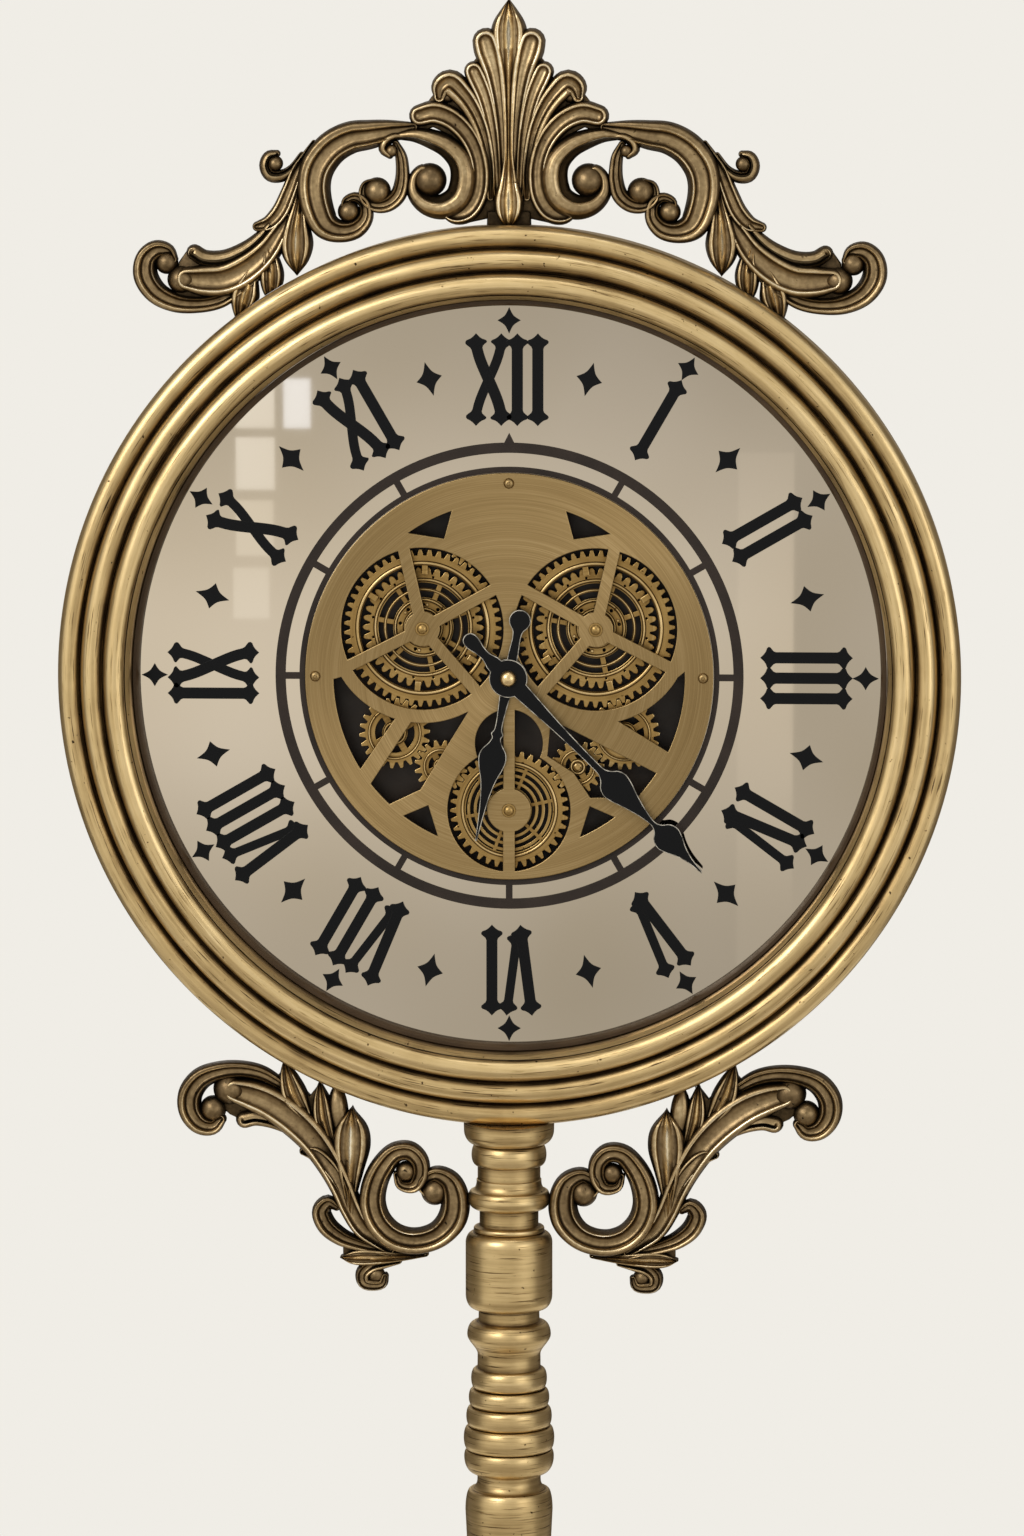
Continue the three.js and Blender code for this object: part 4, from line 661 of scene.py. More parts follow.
def ring():
    front, back = depths("bezel")
    inmost = len(REEDS) - 1
    reed_depth = front + REED
    section = [(RING, back - 1, 0.5), (RING, reed_depth + inmost * REED_STEP + 1, PLAIN_WEAR)]
    for k, (start, stop, shares, wear_and_painted_light) in enumerate(REEDS):
        radius = RING - REED - REED_PITCH * k
        depth = reed_depth + REED_STEP * (inmost - k)
        bend = arc(radius, depth, REED, start, stop, 30)
        worn = np.interp(np.linspace(0, 1, len(bend)), shares, wear_and_painted_light)
        section += [(r, y, w) for (r, y), w in zip(bend.tolist(), worn.tolist())]
        if k < inmost:
            # A thin bead runs along the foot of each groove
            foot = radius - REED_PITCH / 2
            section += [(foot + 0.4, depth - 1.6, 0.24), (foot + 0.2, depth - 2.8, 0.5),
                        (foot - 0.1, depth - 3.2, 0.8), (foot - 0.3, depth - 2.8, 0.3)]
    # A flat land leads in to the spacer. The mirror lies in a rebate, and a channel lightens the back.
    land = reed_depth - 1.8
    dark_edge = span("dial_spacer_ring")[1][0] + SEAT
    rebate = span("mirror_dial")[1][0] + SEAT
    channel, wall = POST_DEPTH - 11, 6.0
    groove = RING - inmost * REED_PITCH - REED * 1.9
    section += [(groove, land + 1.2, 0.2), (groove - 0.5, land, 0.66), (dark_edge + 0.8, land + 2.6, 0.6),
                (dark_edge + 0.3, land + 3.4, 0.5), (dark_edge, -9.4, 0.3)]
    hidden = [(dark_edge, 0), (rebate, 0), (rebate, back), (rebate + wall, back), (rebate + wall, channel),
              (RING - wall, channel), (RING - wall, back), (RING - 1, back)]
    section += [(r, y, 0.4) for r, y in hidden]
    piece("reeded_ring", [turned(section, "Y", 256)], "antique_brass", stands_for=["bezel"], crease=50)

    near, far = depths("dial_spacer_ring")
    inside = span("dial_spacer_ring")[1][0] - 4
    spacer = [(inside + 4, far), (inside + 4, near + 0.4), (inside + 3.6, near), (inside + 1.6, near),
              (inside + 0.3, near + 2.5), (inside, near + 4), (inside, far)]
    piece("dial_spacer_turning", [turned(spacer, "Y", 256)], "bronze_ring", stands_for=["dial_spacer_ring"],
          finish=spacer_lacquer)


TO_BACK = (1, -1, 1)  # turns a plate over, so that its face looks to the back


def slotted_head(x, z, radius, face, height):
    """A round screw head on the back, with a slot: a disc with two half rounds on it."""
    slot = 0.45  # half width
    lean = math.degrees(math.asin(slot / radius))
    disc = [(0, face), (radius, face), (radius, face + height * 0.45), (0, face + height * 0.45)]
    solids = [turned(disc, "Y", 40, (x, 0, z))]
    for turn in (25, 205):
        half = arc(0, 0, radius, turn + lean, turn + 180 - lean, 20)
        solids.append(placed(plate(half, -height, height * 0.6, radius * 0.28), (x, face, z), TO_BACK))
    return solids


def drum():
    front, back = depths("case_drum")
    radius = span("case_drum")[1][0]
    doorway, mouth = 116.0, 247.0  # radii of the openings behind and in front
    profile = [
        (radius, front), (radius, back - 3), (radius - 0.9, back - 0.9), (radius - 3, back), (radius - 22, back),
        (radius - 24, back - 1.5), (radius - 30, back - 1.5), (radius - 32, back), (doorway, back),
        (doorway, back - 2), (radius - 34, back - 3.5), (radius - 20, back - 3.5), (radius - 2, back - 4),
        (radius - 2, front + 2), (mouth, front + 2), (mouth, front),
    ]
    piece("case_drum_pressing", [turned(profile, "Y", 192)], "black_steel", stands_for=["case_drum"])


def rear_door():
    near, far = depths("rear_door")
    radius = span("rear_door")[1][0]
    hatch_low, hatch_high = span("battery_hatch")
    hatch_size = (hatch_high - hatch_low)[[0, 2]]
    hatch_rise = axis_of("battery_hatch")[1]
    opening = rounded(hatch_size[0] - 10, hatch_size[1] - 10, 2) + np.array([0, hatch_rise])
    knob_x, knob_rise = axis_of("setting_knob")
    stem, stem_hole = 2.5, 2.9  # radii
    holes = [opening, circle(0, knob_rise, stem_hole, 24)]
    # The stiffening rib runs over the top and stops above the hatch, which slides past below
    rib_low, rib_high, rib_inside, rib_outside = -22, 202, 103, 109
    rib = np.vstack([arc(0, 0, rib_outside, rib_low, rib_high, 128), arc(0, 0, rib_inside, rib_high, rib_low, 128)])
    door = [plate(circle(0, 0, radius, 160), -far, far - near, 0.6, holes), plate(rib, -far - 1.4, 1.6, 1.2)]
    piece("rear_door_pressing", [placed(solid, flip=TO_BACK) for solid in door], "black_steel",
          stands_for=["rear_door"], crease=20)
    for k in range(1, 5):
        name = f"rear_door_screw_{k}"
        end = depths(name)[1]
        piece(f"door_screw_head_{k}", slotted_head(*axis_of(name), 3.4, far + SEAT, end - far - SEAT), "zinc_steel",
              stands_for=[name], crease=20)

    outer = depths("setting_knob")[1]
    turn = np.linspace(0, 2 * math.pi, 240, endpoint=False)
    flutes = 8.6 + 0.4 * np.cos(30 * turn)
    rim = np.column_stack([flutes * np.cos(turn), flutes * np.sin(turn)])
    arrow = [(-1.6, 1.5), (1.6, 1.5), (0, 5.5)]
    shaft = turned([(0, far - 12), (stem, far - 12), (stem, far + 1), (0, far + 1)], "Y", 24)
    middle = (knob_x, 0, knob_rise)
    knob = [placed(plate(rim, -outer, outer - far - SEAT, 0.8), middle, TO_BACK),
            placed(plate(arrow, -outer - 0.35, 0.6, 0.1), middle, TO_BACK), placed(shaft, middle)]
    piece("setting_knob_moulding", knob, "black_plastic", body="knob", stands_for=["setting_knob"], crease=20)

    near, far = depths("battery_hatch")
    cover = [plate(rounded(*hatch_size, 4), -far, far - near, 0.5)]
    for k in range(7):
        bar = rounded(1.6, hatch_size[1] * 0.5, 0.8) + np.array([hatch_size[0] * 0.28 + 2.6 * (k - 3), 0])
        cover.append(plate(bar, -far - 0.6, 0.8, 0.3))
    lifted = [placed(solid, (0, 0, hatch_rise), TO_BACK) for solid in cover]
    piece("battery_hatch_moulding", lifted, "black_plastic", body="hatch", stands_for=["battery_hatch"], crease=20)


def cells():
    for k in (1, 2):
        name = f"battery_{k}"
        low, high = span(name)
        end, wide = (high[0] - low[0]) / 2, (high[2] - low[2]) / 2
        profile = [(0, -end), (wide - 2, -end), (wide - 0.3, -end + 0.3), (wide, -end + 1), (wide, end - 2.4),
                   (wide - 0.4, end - 1.9), (wide - 1.4, end - 1.6), (2.8, end - 1.5), (2.7, end - 0.3), (2.4, end),
                   (0, end)]
        points, faces, wear_and_painted_light = turned(profile, "Z", 40)
        lying = points[:, [2, 1, 0]]
        piece(f"cell_{k}", [(lying, faces, wear_and_painted_light)], "cell_case", stands_for=[name], origin=(low + high) / 2)


# Dial

def numeral_stroke(line, half, serif):
    """A stroke along a line, with a notched, pointed serif at both ends."""
    tip = [(0.0, 0.0), (1.2, 1.1), (2.5, 2.4), (3.6, 4.0), (4.5, serif - 0.8), (5.5, serif), (6.6, serif - 0.2),
           (7.6, serif - 1.4), (8.9, half + 0.6), (10.4, half)]
    neck = tip[-1][0]
    cuts = 10  # along the straight part
    path = smooth(line, 1.0)[:, :2]
    run = np.gradient(path, axis=0)
    run /= np.linalg.norm(run, axis=1, keepdims=True)
    along = np.concatenate([[0], np.cumsum(np.linalg.norm(np.diff(path, axis=0), axis=1))])
    reach = along[-1]
    straight = np.linspace(neck, reach - neck, cuts + 2)[1:-1].tolist()
    stations = [s for s, _ in tip] + straight + [reach - s for s, _ in tip[::-1]]
    widths = [w for _, w in tip] + [half] * cuts + [w for _, w in tip[::-1]]
    at = np.column_stack([np.interp(stations, along, column) for column in path.T])
    way = np.column_stack([np.interp(stations, along, column) for column in run.T])
    left = np.column_stack([-way[:, 1], way[:, 0]]) * np.array(widths)[:, None]
    return np.vstack([at + left, (at - left)[-2:0:-1]])


FOOT, CAP = 167.0, 228.4  # radii between which the numerals stand
NUMERALS = ["I", "II", "III", "IV", "V", "VI", "VII", "VIII", "IX", "X", "XI", "XII"]
LETTER_WIDTH = {"I": 13.6, "V": 23.2, "X": 24.4}
WIDEST = 60.0  # a wider numeral is squeezed to this
MARK_GAP, MARK_EDGE = 0.05, 0.18  # between a mark and the mirror, and round a mark's face


def letter(kind, x):
    """The strokes of a letter about x, feet towards the middle of the dial: line, half width, half serif."""
    if kind == "I":
        return [([(x, FOOT), (x, CAP)], 3.7, 7.2)]
    if kind == "V":
        return [([(x - 8.6, CAP), (x - 0.6, FOOT)], 3.7, 7.0), ([(x + 8.6, CAP), (x + 1.0, FOOT + 4)], 3.0, 6.6)]
    spread = 8.4
    bend = [(-spread, CAP), (-spread + 0.3, CAP - 8), (-spread + 2.6, CAP - 17),
            (spread - 2.6, FOOT + 17), (spread - 0.3, FOOT + 8), (spread, FOOT)]
    return [([(x + a, z) for a, z in bend], 3.7, 7.2), ([(x - a, z) for a, z in bend], 3.2, 6.8)]


def star(radius, wide, tall):
    """A four-pointed star with hollow sides, at a distance from the middle of the dial."""
    tips = [(wide / 2, 0), (0, tall / 2), (-wide / 2, 0), (0, -tall / 2)]
    outline = []
    for (ax, az), (bx, bz) in zip(tips, tips[1:] + tips[:1]):
        for share in np.linspace(0, 1, 7)[:-1]:
            pull = 1 - share * (1 - share)
            outline.append((((1 - share) * ax + share * bx) * pull, ((1 - share) * az + share * bz) * pull + radius))
    return np.array(outline)


def clockwise(points, degrees):
    """Points of a flat outline turned about the middle of the dial."""
    a = math.radians(degrees)
    x, z = np.asarray(points, float).T
    return np.column_stack([x * math.cos(a) + z * math.sin(a), z * math.cos(a) - x * math.sin(a)])


def markings():
    face = depths("mirror_dial")[0]

    def mark(outline, turn, tall):
        return plate(clockwise(outline, turn), face - tall, tall - MARK_GAP, MARK_EDGE)

    strokes = []
    for hour, text in enumerate(NUMERALS, 1):
        wide = sum(LETTER_WIDTH[kind] for kind in text)
        squeeze = min(1.0, WIDEST / wide)
        x = -wide * squeeze / 2
        for kind in text:
            step = LETTER_WIDTH[kind] * squeeze
            for line, half, serif in letter(kind, x + step / 2):
                # A thin stroke lies a little lower than the thick one that it crosses
                strokes.append(mark(numeral_stroke(line, half, serif), 30 * hour, 0.9 if half > 3.5 else 0.8))
            x += step
    piece("hour_numerals", strokes, "black_enamel", crease=20, finish=numeral_enamel)
    stars = []
    for hour in range(12):
        stars += [mark(star(237, 15.5, 17.5), 30 * hour, 0.9), mark(star(205, 17.5, 23), 30 * hour + 15, 0.9)]
    piece("dial_stars", stars, "black_enamel", crease=20, finish=numeral_enamel)


def chapter():
    front, back = depths("chapter_ring")
    inner, outer = PLATE_RADIUS + SEAT, span("chapter_ring")[1][0]
    track = (outer - 16, outer - 6.7)
    half_bar = 2.2
    near_lean, far_lean = [math.degrees(math.asin(half_bar / radius)) for radius in track]
    holes = [circle(0, 0, inner, 160)]
    # A bar stands at each hour but twelve, where the pointer is
    bars = [120 + 30 * hour for hour in range(11)]
    for start, stop in zip(bars, bars[1:] + [bars[0] + 360]):
        steps = 16 * (stop - start) // 30
        holes.append(np.vstack([arc(0, 0, track[1], start + far_lean, stop - far_lean, steps),
                                arc(0, 0, track[0], stop - near_lean, start + near_lean, steps)]))
    ring_plate = plate(circle(0, 0, outer, 192), front, back - front, 0.15, holes)
    pointer = plate([(-4, outer - 1.5), (4, outer - 1.5), (0, outer + 6.5)], front - 0.05, back - front, 0.15)
    piece("chapter_ring_cut", [ring_plate, pointer], "bronze_ring", stands_for=["chapter_ring"], crease=20)


# Wheel work

MODULE = 2.0
TIP, ROOT = (0.86, 0.46), (-1.15, 1.02)  # height from the pitch circle and half thickness, in modules
TEETH = {"great": 51, "idler": 22, "small_idler": 16, "lower": 38, "pinion": 12}
WINDOW_GAP = 1.4  # between a wheel's teeth and the edge of the plate's window
WHEEL_BORE, PLATE_BORE = 2.8, 2.9  # radii of the holes for the arbors
IDLERS = ("left_idler", "right_idler", "left_small_idler", "right_small_idler")
CENTRES = {
    **{side: axis_of(side + "_arbor") for side in ("left", "right", "lower")},
    **{name: axis_of(name) for name in IDLERS},
    "pinion": axis_of("drive_pinion"),
}


def pitch_radius(teeth):
    return MODULE * teeth / 2


def tip_radius(teeth):
    return pitch_radius(teeth) + TIP[0] * MODULE


def toothed(teeth, turn, slim=1.0):
    """A wheel's outline, with a tooth centred on an angle in radians. A pinion has slimmer teeth, to run clear."""
    flank = [ROOT, (TIP[0] - 0.14, TIP[1] + 0.05), (TIP[0], TIP[1] - 0.1)]
    corners = [(corner, -1) for corner in flank] + [(corner, 1) for corner in flank[::-1]]
    outline = []
    for k in range(teeth):
        for (rise, half), sign in corners:
            radius = pitch_radius(teeth) + rise * MODULE
            angle = turn + 2 * math.pi * k / teeth + sign * slim * half * MODULE / radius
            outline.append((radius * math.cos(angle), radius * math.sin(angle)))
    return np.array(outline)


def mesh_turn(driver_teeth, driver_turn, start, teeth, end):
    """The turn that puts a wheel in mesh with the one that drives it."""
    along = math.atan2(end[1] - start[1], end[0] - start[0])
    slip = pitch_radius(driver_teeth) * (driver_turn - along) + math.pi * MODULE / 2
    return along + math.pi - slip / pitch_radius(teeth)


def spoke_windows(middle, hub, rim, spokes, half_width, rim_steps=24, hub_steps=8):
    """The openings between straight spokes at the given angles."""
    def lean(radius):
        return math.degrees(math.asin(half_width / radius))
    windows = []
    for start, stop in zip(spokes, spokes[1:] + [spokes[0] + 360]):
        outer = arc(*middle, rim, start + lean(rim), stop - lean(rim), rim_steps)
        inner = arc(*middle, hub, stop - lean(hub), start + lean(hub), hub_steps)
        windows.append(np.vstack([outer, inner]))
    return windows


def slotted_ring(radii, spokes, width, front, thickness):
    """Thin rings on radial bars, cut from one sheet: the radii run outwards."""
    holes = [circle(0, 0, radii[0] - width / 2, 64)]
    for inner, outer in zip(radii, radii[1:]):
        holes += spoke_windows((0, 0), inner + width / 2, outer - width / 2, spokes, width * 0.55, 12, 12)
    return plate(circle(0, 0, radii[-1] + width / 2, 96), front, thickness, 0.2, holes)


def bead_ring(radius, width, face, height):
    """A raised half-round ring on a wheel's face, lighter on top, and darker along both sides with tarnish and painted
    shade.
    """
    # The skirts either side are darker: tarnish with painted shade where the bead meets the face
    skirt = width / 2 + 0.5
    section = [(radius + skirt, face - 0.04, 0.4)]
    for t in np.linspace(0, math.pi, 9):
        section.append((radius + width / 2 * math.cos(t), face - height * math.sin(t), 0.3 + 0.6 * math.sin(t)))
    section += [(radius - skirt, face - 0.04, 0.4), (radius, face + 0.3, 0.4)]
    return turned(section, "Y", 96)


def train_turns():
    """The turn of each wheel, from the left great wheel on through the train."""
    order = [("left", "great", None), ("left_idler", "idler", "left"),
             ("left_small_idler", "small_idler", "left_idler"),
             ("lower", "lower", "left_small_idler"), ("right_small_idler", "small_idler", "lower"),
             ("right_idler", "idler", "right_small_idler"), ("right", "great", "right_idler"),
             ("pinion", "pinion", "left")]
    turns, teeth = {"left": 0.0}, {}
    for name, kind, driver in order:
        teeth[name] = TEETH[kind]
        if driver:
            turns[name] = mesh_turn(teeth[driver], turns[driver], CENTRES[driver], teeth[name], CENTRES[name])
    return turns


GREAT_RIM = pitch_radius(TEETH["great"]) + ROOT[0] * MODULE - 6.6  # inner radius of a great wheel's rim


def great_wheel(side):
    front, back = depths("left_great_wheel")
    second_front = depths("left_second_wheel")[0]
    # Four short lugs hold the rim on the second wheel
    lugs = (88, 148, 265, 328) if side == "left" else (32, 100, 212, 284)
    half_lug, reach, stud = 1.9, 36.0, 1.5
    lean, tip_lean = [math.degrees(math.asin(half_lug / radius)) for radius in (GREAT_RIM, reach)]
    opening = []
    for start, stop in zip(lugs, lugs[1:] + (lugs[0] + 360,)):
        opening += [arc(0, 0, GREAT_RIM, start + lean, stop - lean, 36),
                    arc(0, 0, reach, stop - tip_lean, stop + tip_lean, 2)]
    outline = toothed(TEETH["great"], train_turns()[side])
    wheel = [plate(outline, front, back - front, 0.35, [np.vstack(opening)])]
    for turn in lugs:
        pin = [(0, front + 1), (stud, front + 1), (stud, second_front + 1), (0, second_front + 1)]
        x, z = arc(0, 0, reach + half_lug, turn, turn, 1)[0]
        wheel.append(turned(pin, "Y", 20, (x, 0, z)))
    wheel.append(bead_ring(GREAT_RIM + 1.5, 2.2, front, 0.8))
    piece(side + "_great_wheel_cut", wheel, "wheel_brass", side + "_train", [side + "_great_wheel"],
          on_dial(CENTRES[side]), 20)


def second_wheel(side):
    """The wheel behind: rounded teeth, raised rings, two rows of slots, and a hub with small holes and studs."""
    front, back = depths("left_second_wheel")
    tip, foot = GREAT_RIM - 1.6, 35.8
    lobes = 38
    angle = np.linspace(0, 2 * math.pi, lobes * 14, endpoint=False)
    off_middle = np.abs((lobes * angle / math.pi + 1) % 2 - 1) / 0.74
    radius = foot + (tip - foot) * np.sqrt(np.clip(1 - off_middle**2, 0, 1))
    outline = np.column_stack([radius * np.cos(angle), radius * np.sin(angle)])
    hub, half_bar = 15.4, 1.7
    bars = [20 + turn for turn in (0, 48, 104, 150, 205, 262, 310)]
    holes = []
    for inner, outer in ((26.2, 30.0), (20.2, 24.8)):
        holes += spoke_windows((0, 0), inner, outer, bars, half_bar, 12, 12)
    holes += [circle(*clockwise([(0, hub)], 40 * k)[0], 1.1, 12) for k in range(9)]
    holes += [circle(*clockwise([(0, foot - 1.7)], 360 * (k + 0.5) / 16)[0], 0.8, 10) for k in range(16)]
    wheel = [plate(outline, front, back - front, 0.35, holes + [circle(0, 0, WHEEL_BORE, 24)])]
    for radius, width, height in ((32.0, 1.8, 0.8), (18.6, 1.6, 0.9), (25.5, 1.0, 0.4), (12.4, 1.4, 0.8)):
        wheel.append(bead_ring(radius, width, front, height))
    stud = [(0, front - 1), (0.8, front - 0.9), (1.2, front - 0.4), (1.2, front + 0.4), (0, front + 0.4)]
    for k in range(6):
        x, z = clockwise([(0, hub)], 60 * k + 10)[0]
        wheel.append(turned(stud, "Y", 16, (x, 0, z)))
    piece(side + "_second_wheel_cut", wheel, "wheel_brass", side + "_train", [side + "_second_wheel"],
          on_dial(CENTRES[side]), 20)


def small_wheels():
    front, back = depths("left_great_wheel")
    turns = train_turns()
    rim = pitch_radius(TEETH["lower"]) + ROOT[0] * MODULE - 5.6
    bars = [12 + turn for turn in (0, 55, 122, 178, 238, 305)]
    wheel = [
        plate(toothed(TEETH["lower"], turns["lower"]), front, back - front, 0.35, [circle(0, 0, rim, 96)]),
        bead_ring(rim + 1.2, 1.8, front, 0.7),
        slotted_ring([9.6, 14, 18.4, 22.8, 27.2, rim], bars, 2.0, front + 0.5, 2.4),
        plate(circle(0, 0, 9.2, 48), front + 0.2, 3, 0.3, [circle(0, 0, WHEEL_BORE, 24)]),
    ]
    piece("lower_wheel_cut", wheel, "wheel_brass", "lower_train", ["lower_wheel"], on_dial(CENTRES["lower"]), 20)
    arbor_back = depths("left_idler")[1]
    shaft = [(0, 0.3), (1.6, 0.35), (2.5, 0.9), (2.5, arbor_back), (0, arbor_back)]
    web_front = front + 1.3
    for name in IDLERS:
        teeth = TEETH["small_idler" if "small" in name else "idler"]
        rim = pitch_radius(teeth) - 2.9 * MODULE
        slots = spoke_windows((0, 0), rim * 0.52, rim * 0.82, [30, 120, 210, 300], 2.2, 10, 8)
        wheel = [
            plate(toothed(teeth, turns[name]), front, back - front, 0.3, [circle(0, 0, rim, 64)]),
            plate(circle(0, 0, rim + 0.4, 64), web_front, 1.8, 0.2, slots),
            bead_ring(rim * 0.42, 1.6, web_front, 0.7), bead_ring(rim + 0.9, 1.0, front, 0.4),
            turned(shaft, "Y", 32),
        ]
        piece(name + "_cut", wheel, "wheel_brass", name + "_wheel", [name], on_dial(CENTRES[name]), 20)
    pinion = plate(toothed(TEETH["pinion"], turns["pinion"], 0.78), front, back - front, 0.3)
    piece("pinion_cut", [pinion, turned(shaft, "Y", 32)], "wheel_brass", "motor_pinion", ["drive_pinion"],
          on_dial(CENTRES["pinion"]), 20)


def front_plate():
    front, back = depths("gear_front_plate")
    rim = PLATE_RADIUS - 19
    great = tip_radius(TEETH["great"]) + WINDOW_GAP
    low_window = tip_radius(TEETH["lower"]) + WINDOW_GAP
    collar = great + 9
    left, right, low = CENTRES["left"], CENTRES["right"], CENTRES["lower"]
    hub, low_hub = 11.7, 14.7
    spoke = 4.0  # half width

    def on_rim(share, degrees):
        return arc(0, 0, rim * share, degrees, degrees, 1)[:1]

    def rim_arc(start, stop):
        return arc(0, 0, rim, start, stop, 16)

    # The lower window is a keyhole: a small eye above the wheel's round, halved by a spoke
    eye = np.array([0, low[1] + low_window + 4])
    eye_radius = low_window * 0.55
    gap = eye[1] - low[1]
    meet = (gap**2 + low_window**2 - eye_radius**2) / (2 * gap)
    across = math.sqrt(low_window**2 - meet**2)

    def lean(x, z):
        return math.degrees(math.atan2(z, x))

    keyhole = np.vstack([
        arc(*eye, eye_radius, 90 - lean(eye_radius, spoke), lean(across, meet - gap), 20),
        arc(*low, low_window, lean(across, meet), -90 + lean(low_window, spoke), 40)[1:],
        arc(*low, low_hub, -90 + lean(low_hub, spoke), 90 - lean(low_hub, spoke), 24),
    ])
    # Openings beside and below the wheels' collars, then four small ones along the rim
    holes = [
        np.vstack([rim_arc(181, 212), arc(*left, collar, 253, 211, 16)]),
        np.vstack([arc(*left, collar, 263, 299, 16), on_rim(0.82, 232), rim_arc(227, 218)]),
        np.vstack([rim_arc(-25, 2), arc(*right, collar, -30, -76, 16)]),
        np.vstack([on_rim(0.34, -45), on_rim(0.5, -64), on_rim(0.66, -56), on_rim(0.83, -56), rim_arc(-43, -33)]),
        np.vstack([rim_arc(109, 125), on_rim(0.87, 115)]), np.vstack([rim_arc(71, 55), on_rim(0.87, 65)]),
        np.vstack([rim_arc(-53, -66), on_rim(0.87, -58)]), np.vstack([rim_arc(233, 246), on_rim(0.87, 238)]),
        keyhole, keyhole * np.array([-1, 1]), circle(0, 0, 4.9, 32),
    ]
    holes += spoke_windows(left, hub, great, [-49, 29, 103, 207], spoke, 40, 10)
    holes += spoke_windows(right, hub, great, [-27, 77, 151, 229], spoke, 40, 10)
    holes += [circle(*middle, PLATE_BORE, 24) for middle in (left, right, low)]
    piece("front_plate_cut", [plate(circle(0, 0, PLATE_RADIUS, 192), front, back - front, 0.45, holes)],
          "brushed_brass", stands_for=["gear_front_plate"], crease=20)
    face = front - SEAT
    dome = [(0, face - 1.5), (0.9, face - 1.45), (1.2, face - 1.9), (2.2, face - 1.6), (3.1, face - 0.9),
            (3.5, face - 0.1), (3.4, face), (0, face)]
    for k in range(1, 4):
        name = f"plate_screw_{k}"
        x, z = axis_of(name)
        piece(f"plate_screw_head_{k}", [turned(dome, "Y", 40, (x, 0, z))], "brushed_brass", stands_for=[name])
    for side in ("left", "right", "lower"):
        end = depths(side + "_arbor")[1]
        cap = [(0, face - 2.4), (1.6, face - 2.2), (2.8, face - 1.5), (3.3, face - 0.9), (3.5, face - 0.7),
               (4.4, face - 0.6), (4.7, face - 0.3), (4.7, face), (2.5, face), (2.5, end), (0, end)]
        rubbed = [(radius, depth, 0.7) for radius, depth in cap]
        piece(side + "_arbor_turning", [turned(rubbed, "Y", 40)], "wheel_brass", side + "_train", [side + "_arbor"],
              on_dial(CENTRES[side]))


# Hands

CLOCK_MINUTES = 6 * 60 + 22.5  # the time shown at rest
BOSS = 12.7  # radius of a hand's round middle


def hand_outline(tail, blade):
    """A hand that points up: a tail, a round boss and a blade, given as [distance along, half width]."""
    def lean(half):
        return math.degrees(math.asin(half / BOSS))
    neck, throat = tail[-1][1], blade[0][1]
    boss = arc(0, 0, BOSS, -90 + lean(neck), 90 - lean(throat), 28)
    down = smooth([(half, along) for along, half in tail], 1.2)[:-1]
    up = smooth([(half, along) for along, half in blade], 1.2)[1:]
    side = np.vstack([down, boss, up])
    return np.vstack([side, (side * np.array([-1, 1]))[-2::-1]])


def hands():
    hour = hand_outline(
        [(-46.2, 0.6), (-45.4, 3.4), (-43, 6), (-39, 7.3), (-35, 6), (-32, 3.7), (-28, 2.9), (-16, 3.4)],
        [(13, 3.6), (19, 3.1), (32, 2.4), (36, 2.8), (38.5, 4.2), (41, 3.0), (45, 4.6), (50, 8.2), (55, 9.3), (61, 8.2),
         (70, 5.2), (80, 3.2), (96, 1.6), (112, 0.6)])
    minute = hand_outline(
        [(-40.5, 0.6), (-39.5, 3.2), (-37, 4.8), (-33, 5), (-27, 3.6), (-21, 3.2), (-14, 5.4)],
        [(11.4, 5.6), (22, 4.9), (40, 3.7), (58, 2.9), (80, 2.5), (88, 2.9), (92, 5.2), (95, 8.4), (100, 10.3),
         (106, 9.4), (116, 6), (128, 2.8), (137, 1.8), (141, 3.6), (144.5, 7.6), (150, 9.5), (156, 7.8), (163, 4.4),
         (171, 2.0), (183, 0.6)])
    for name, outline, bore, turn, body in (
            ("hour_hand", hour, 4.9, CLOCK_MINUTES / 2, "hour_work"),
            ("minute_hand", minute, 2.8, CLOCK_MINUTES * 6, "minute_work")):  # degrees from twelve
        front, back = depths(name)
        shape = plate(clockwise(outline, turn), front, back - front, 0.5, [circle(0, 0, bore, 32)])
        piece(name + "_cut", [shape], "black_enamel", body, [name], crease=20)
    front, back = depths("hand_nut")
    dome = [(0, front)] + [(5.3 * math.sin(t), front + 4 * (1 - math.cos(t))) for t in np.linspace(0.15, 1.5, 10)]
    dome += [(5.6, back - 0.6), (5.6, back), (0, back)]
    polished = [(radius, depth, 1.0) for radius, depth in dome]
    piece("hand_nut_turning", [turned(polished, "Y", 48)], "wheel_brass", "minute_work", ["hand_nut"])


# Scrollwork: bands with a modelled face on a flat back

EDGE, BACK = 2.0, 8.0  # depth of a band's edge and of its back, behind the post's axis
RELIEF = (4.2, 11.6)  # the least and the most that a face stands out from the edge
BAND_STEP = 1.5  # between the sections of a band
SHARES = np.array([0, 0.12, 0.22, 0.30, 0.36, 0.42, 0.47, 0.515, 0.56, 0.62, 0.68, 0.75, 0.83, 0.90, 0.96, 1.0])
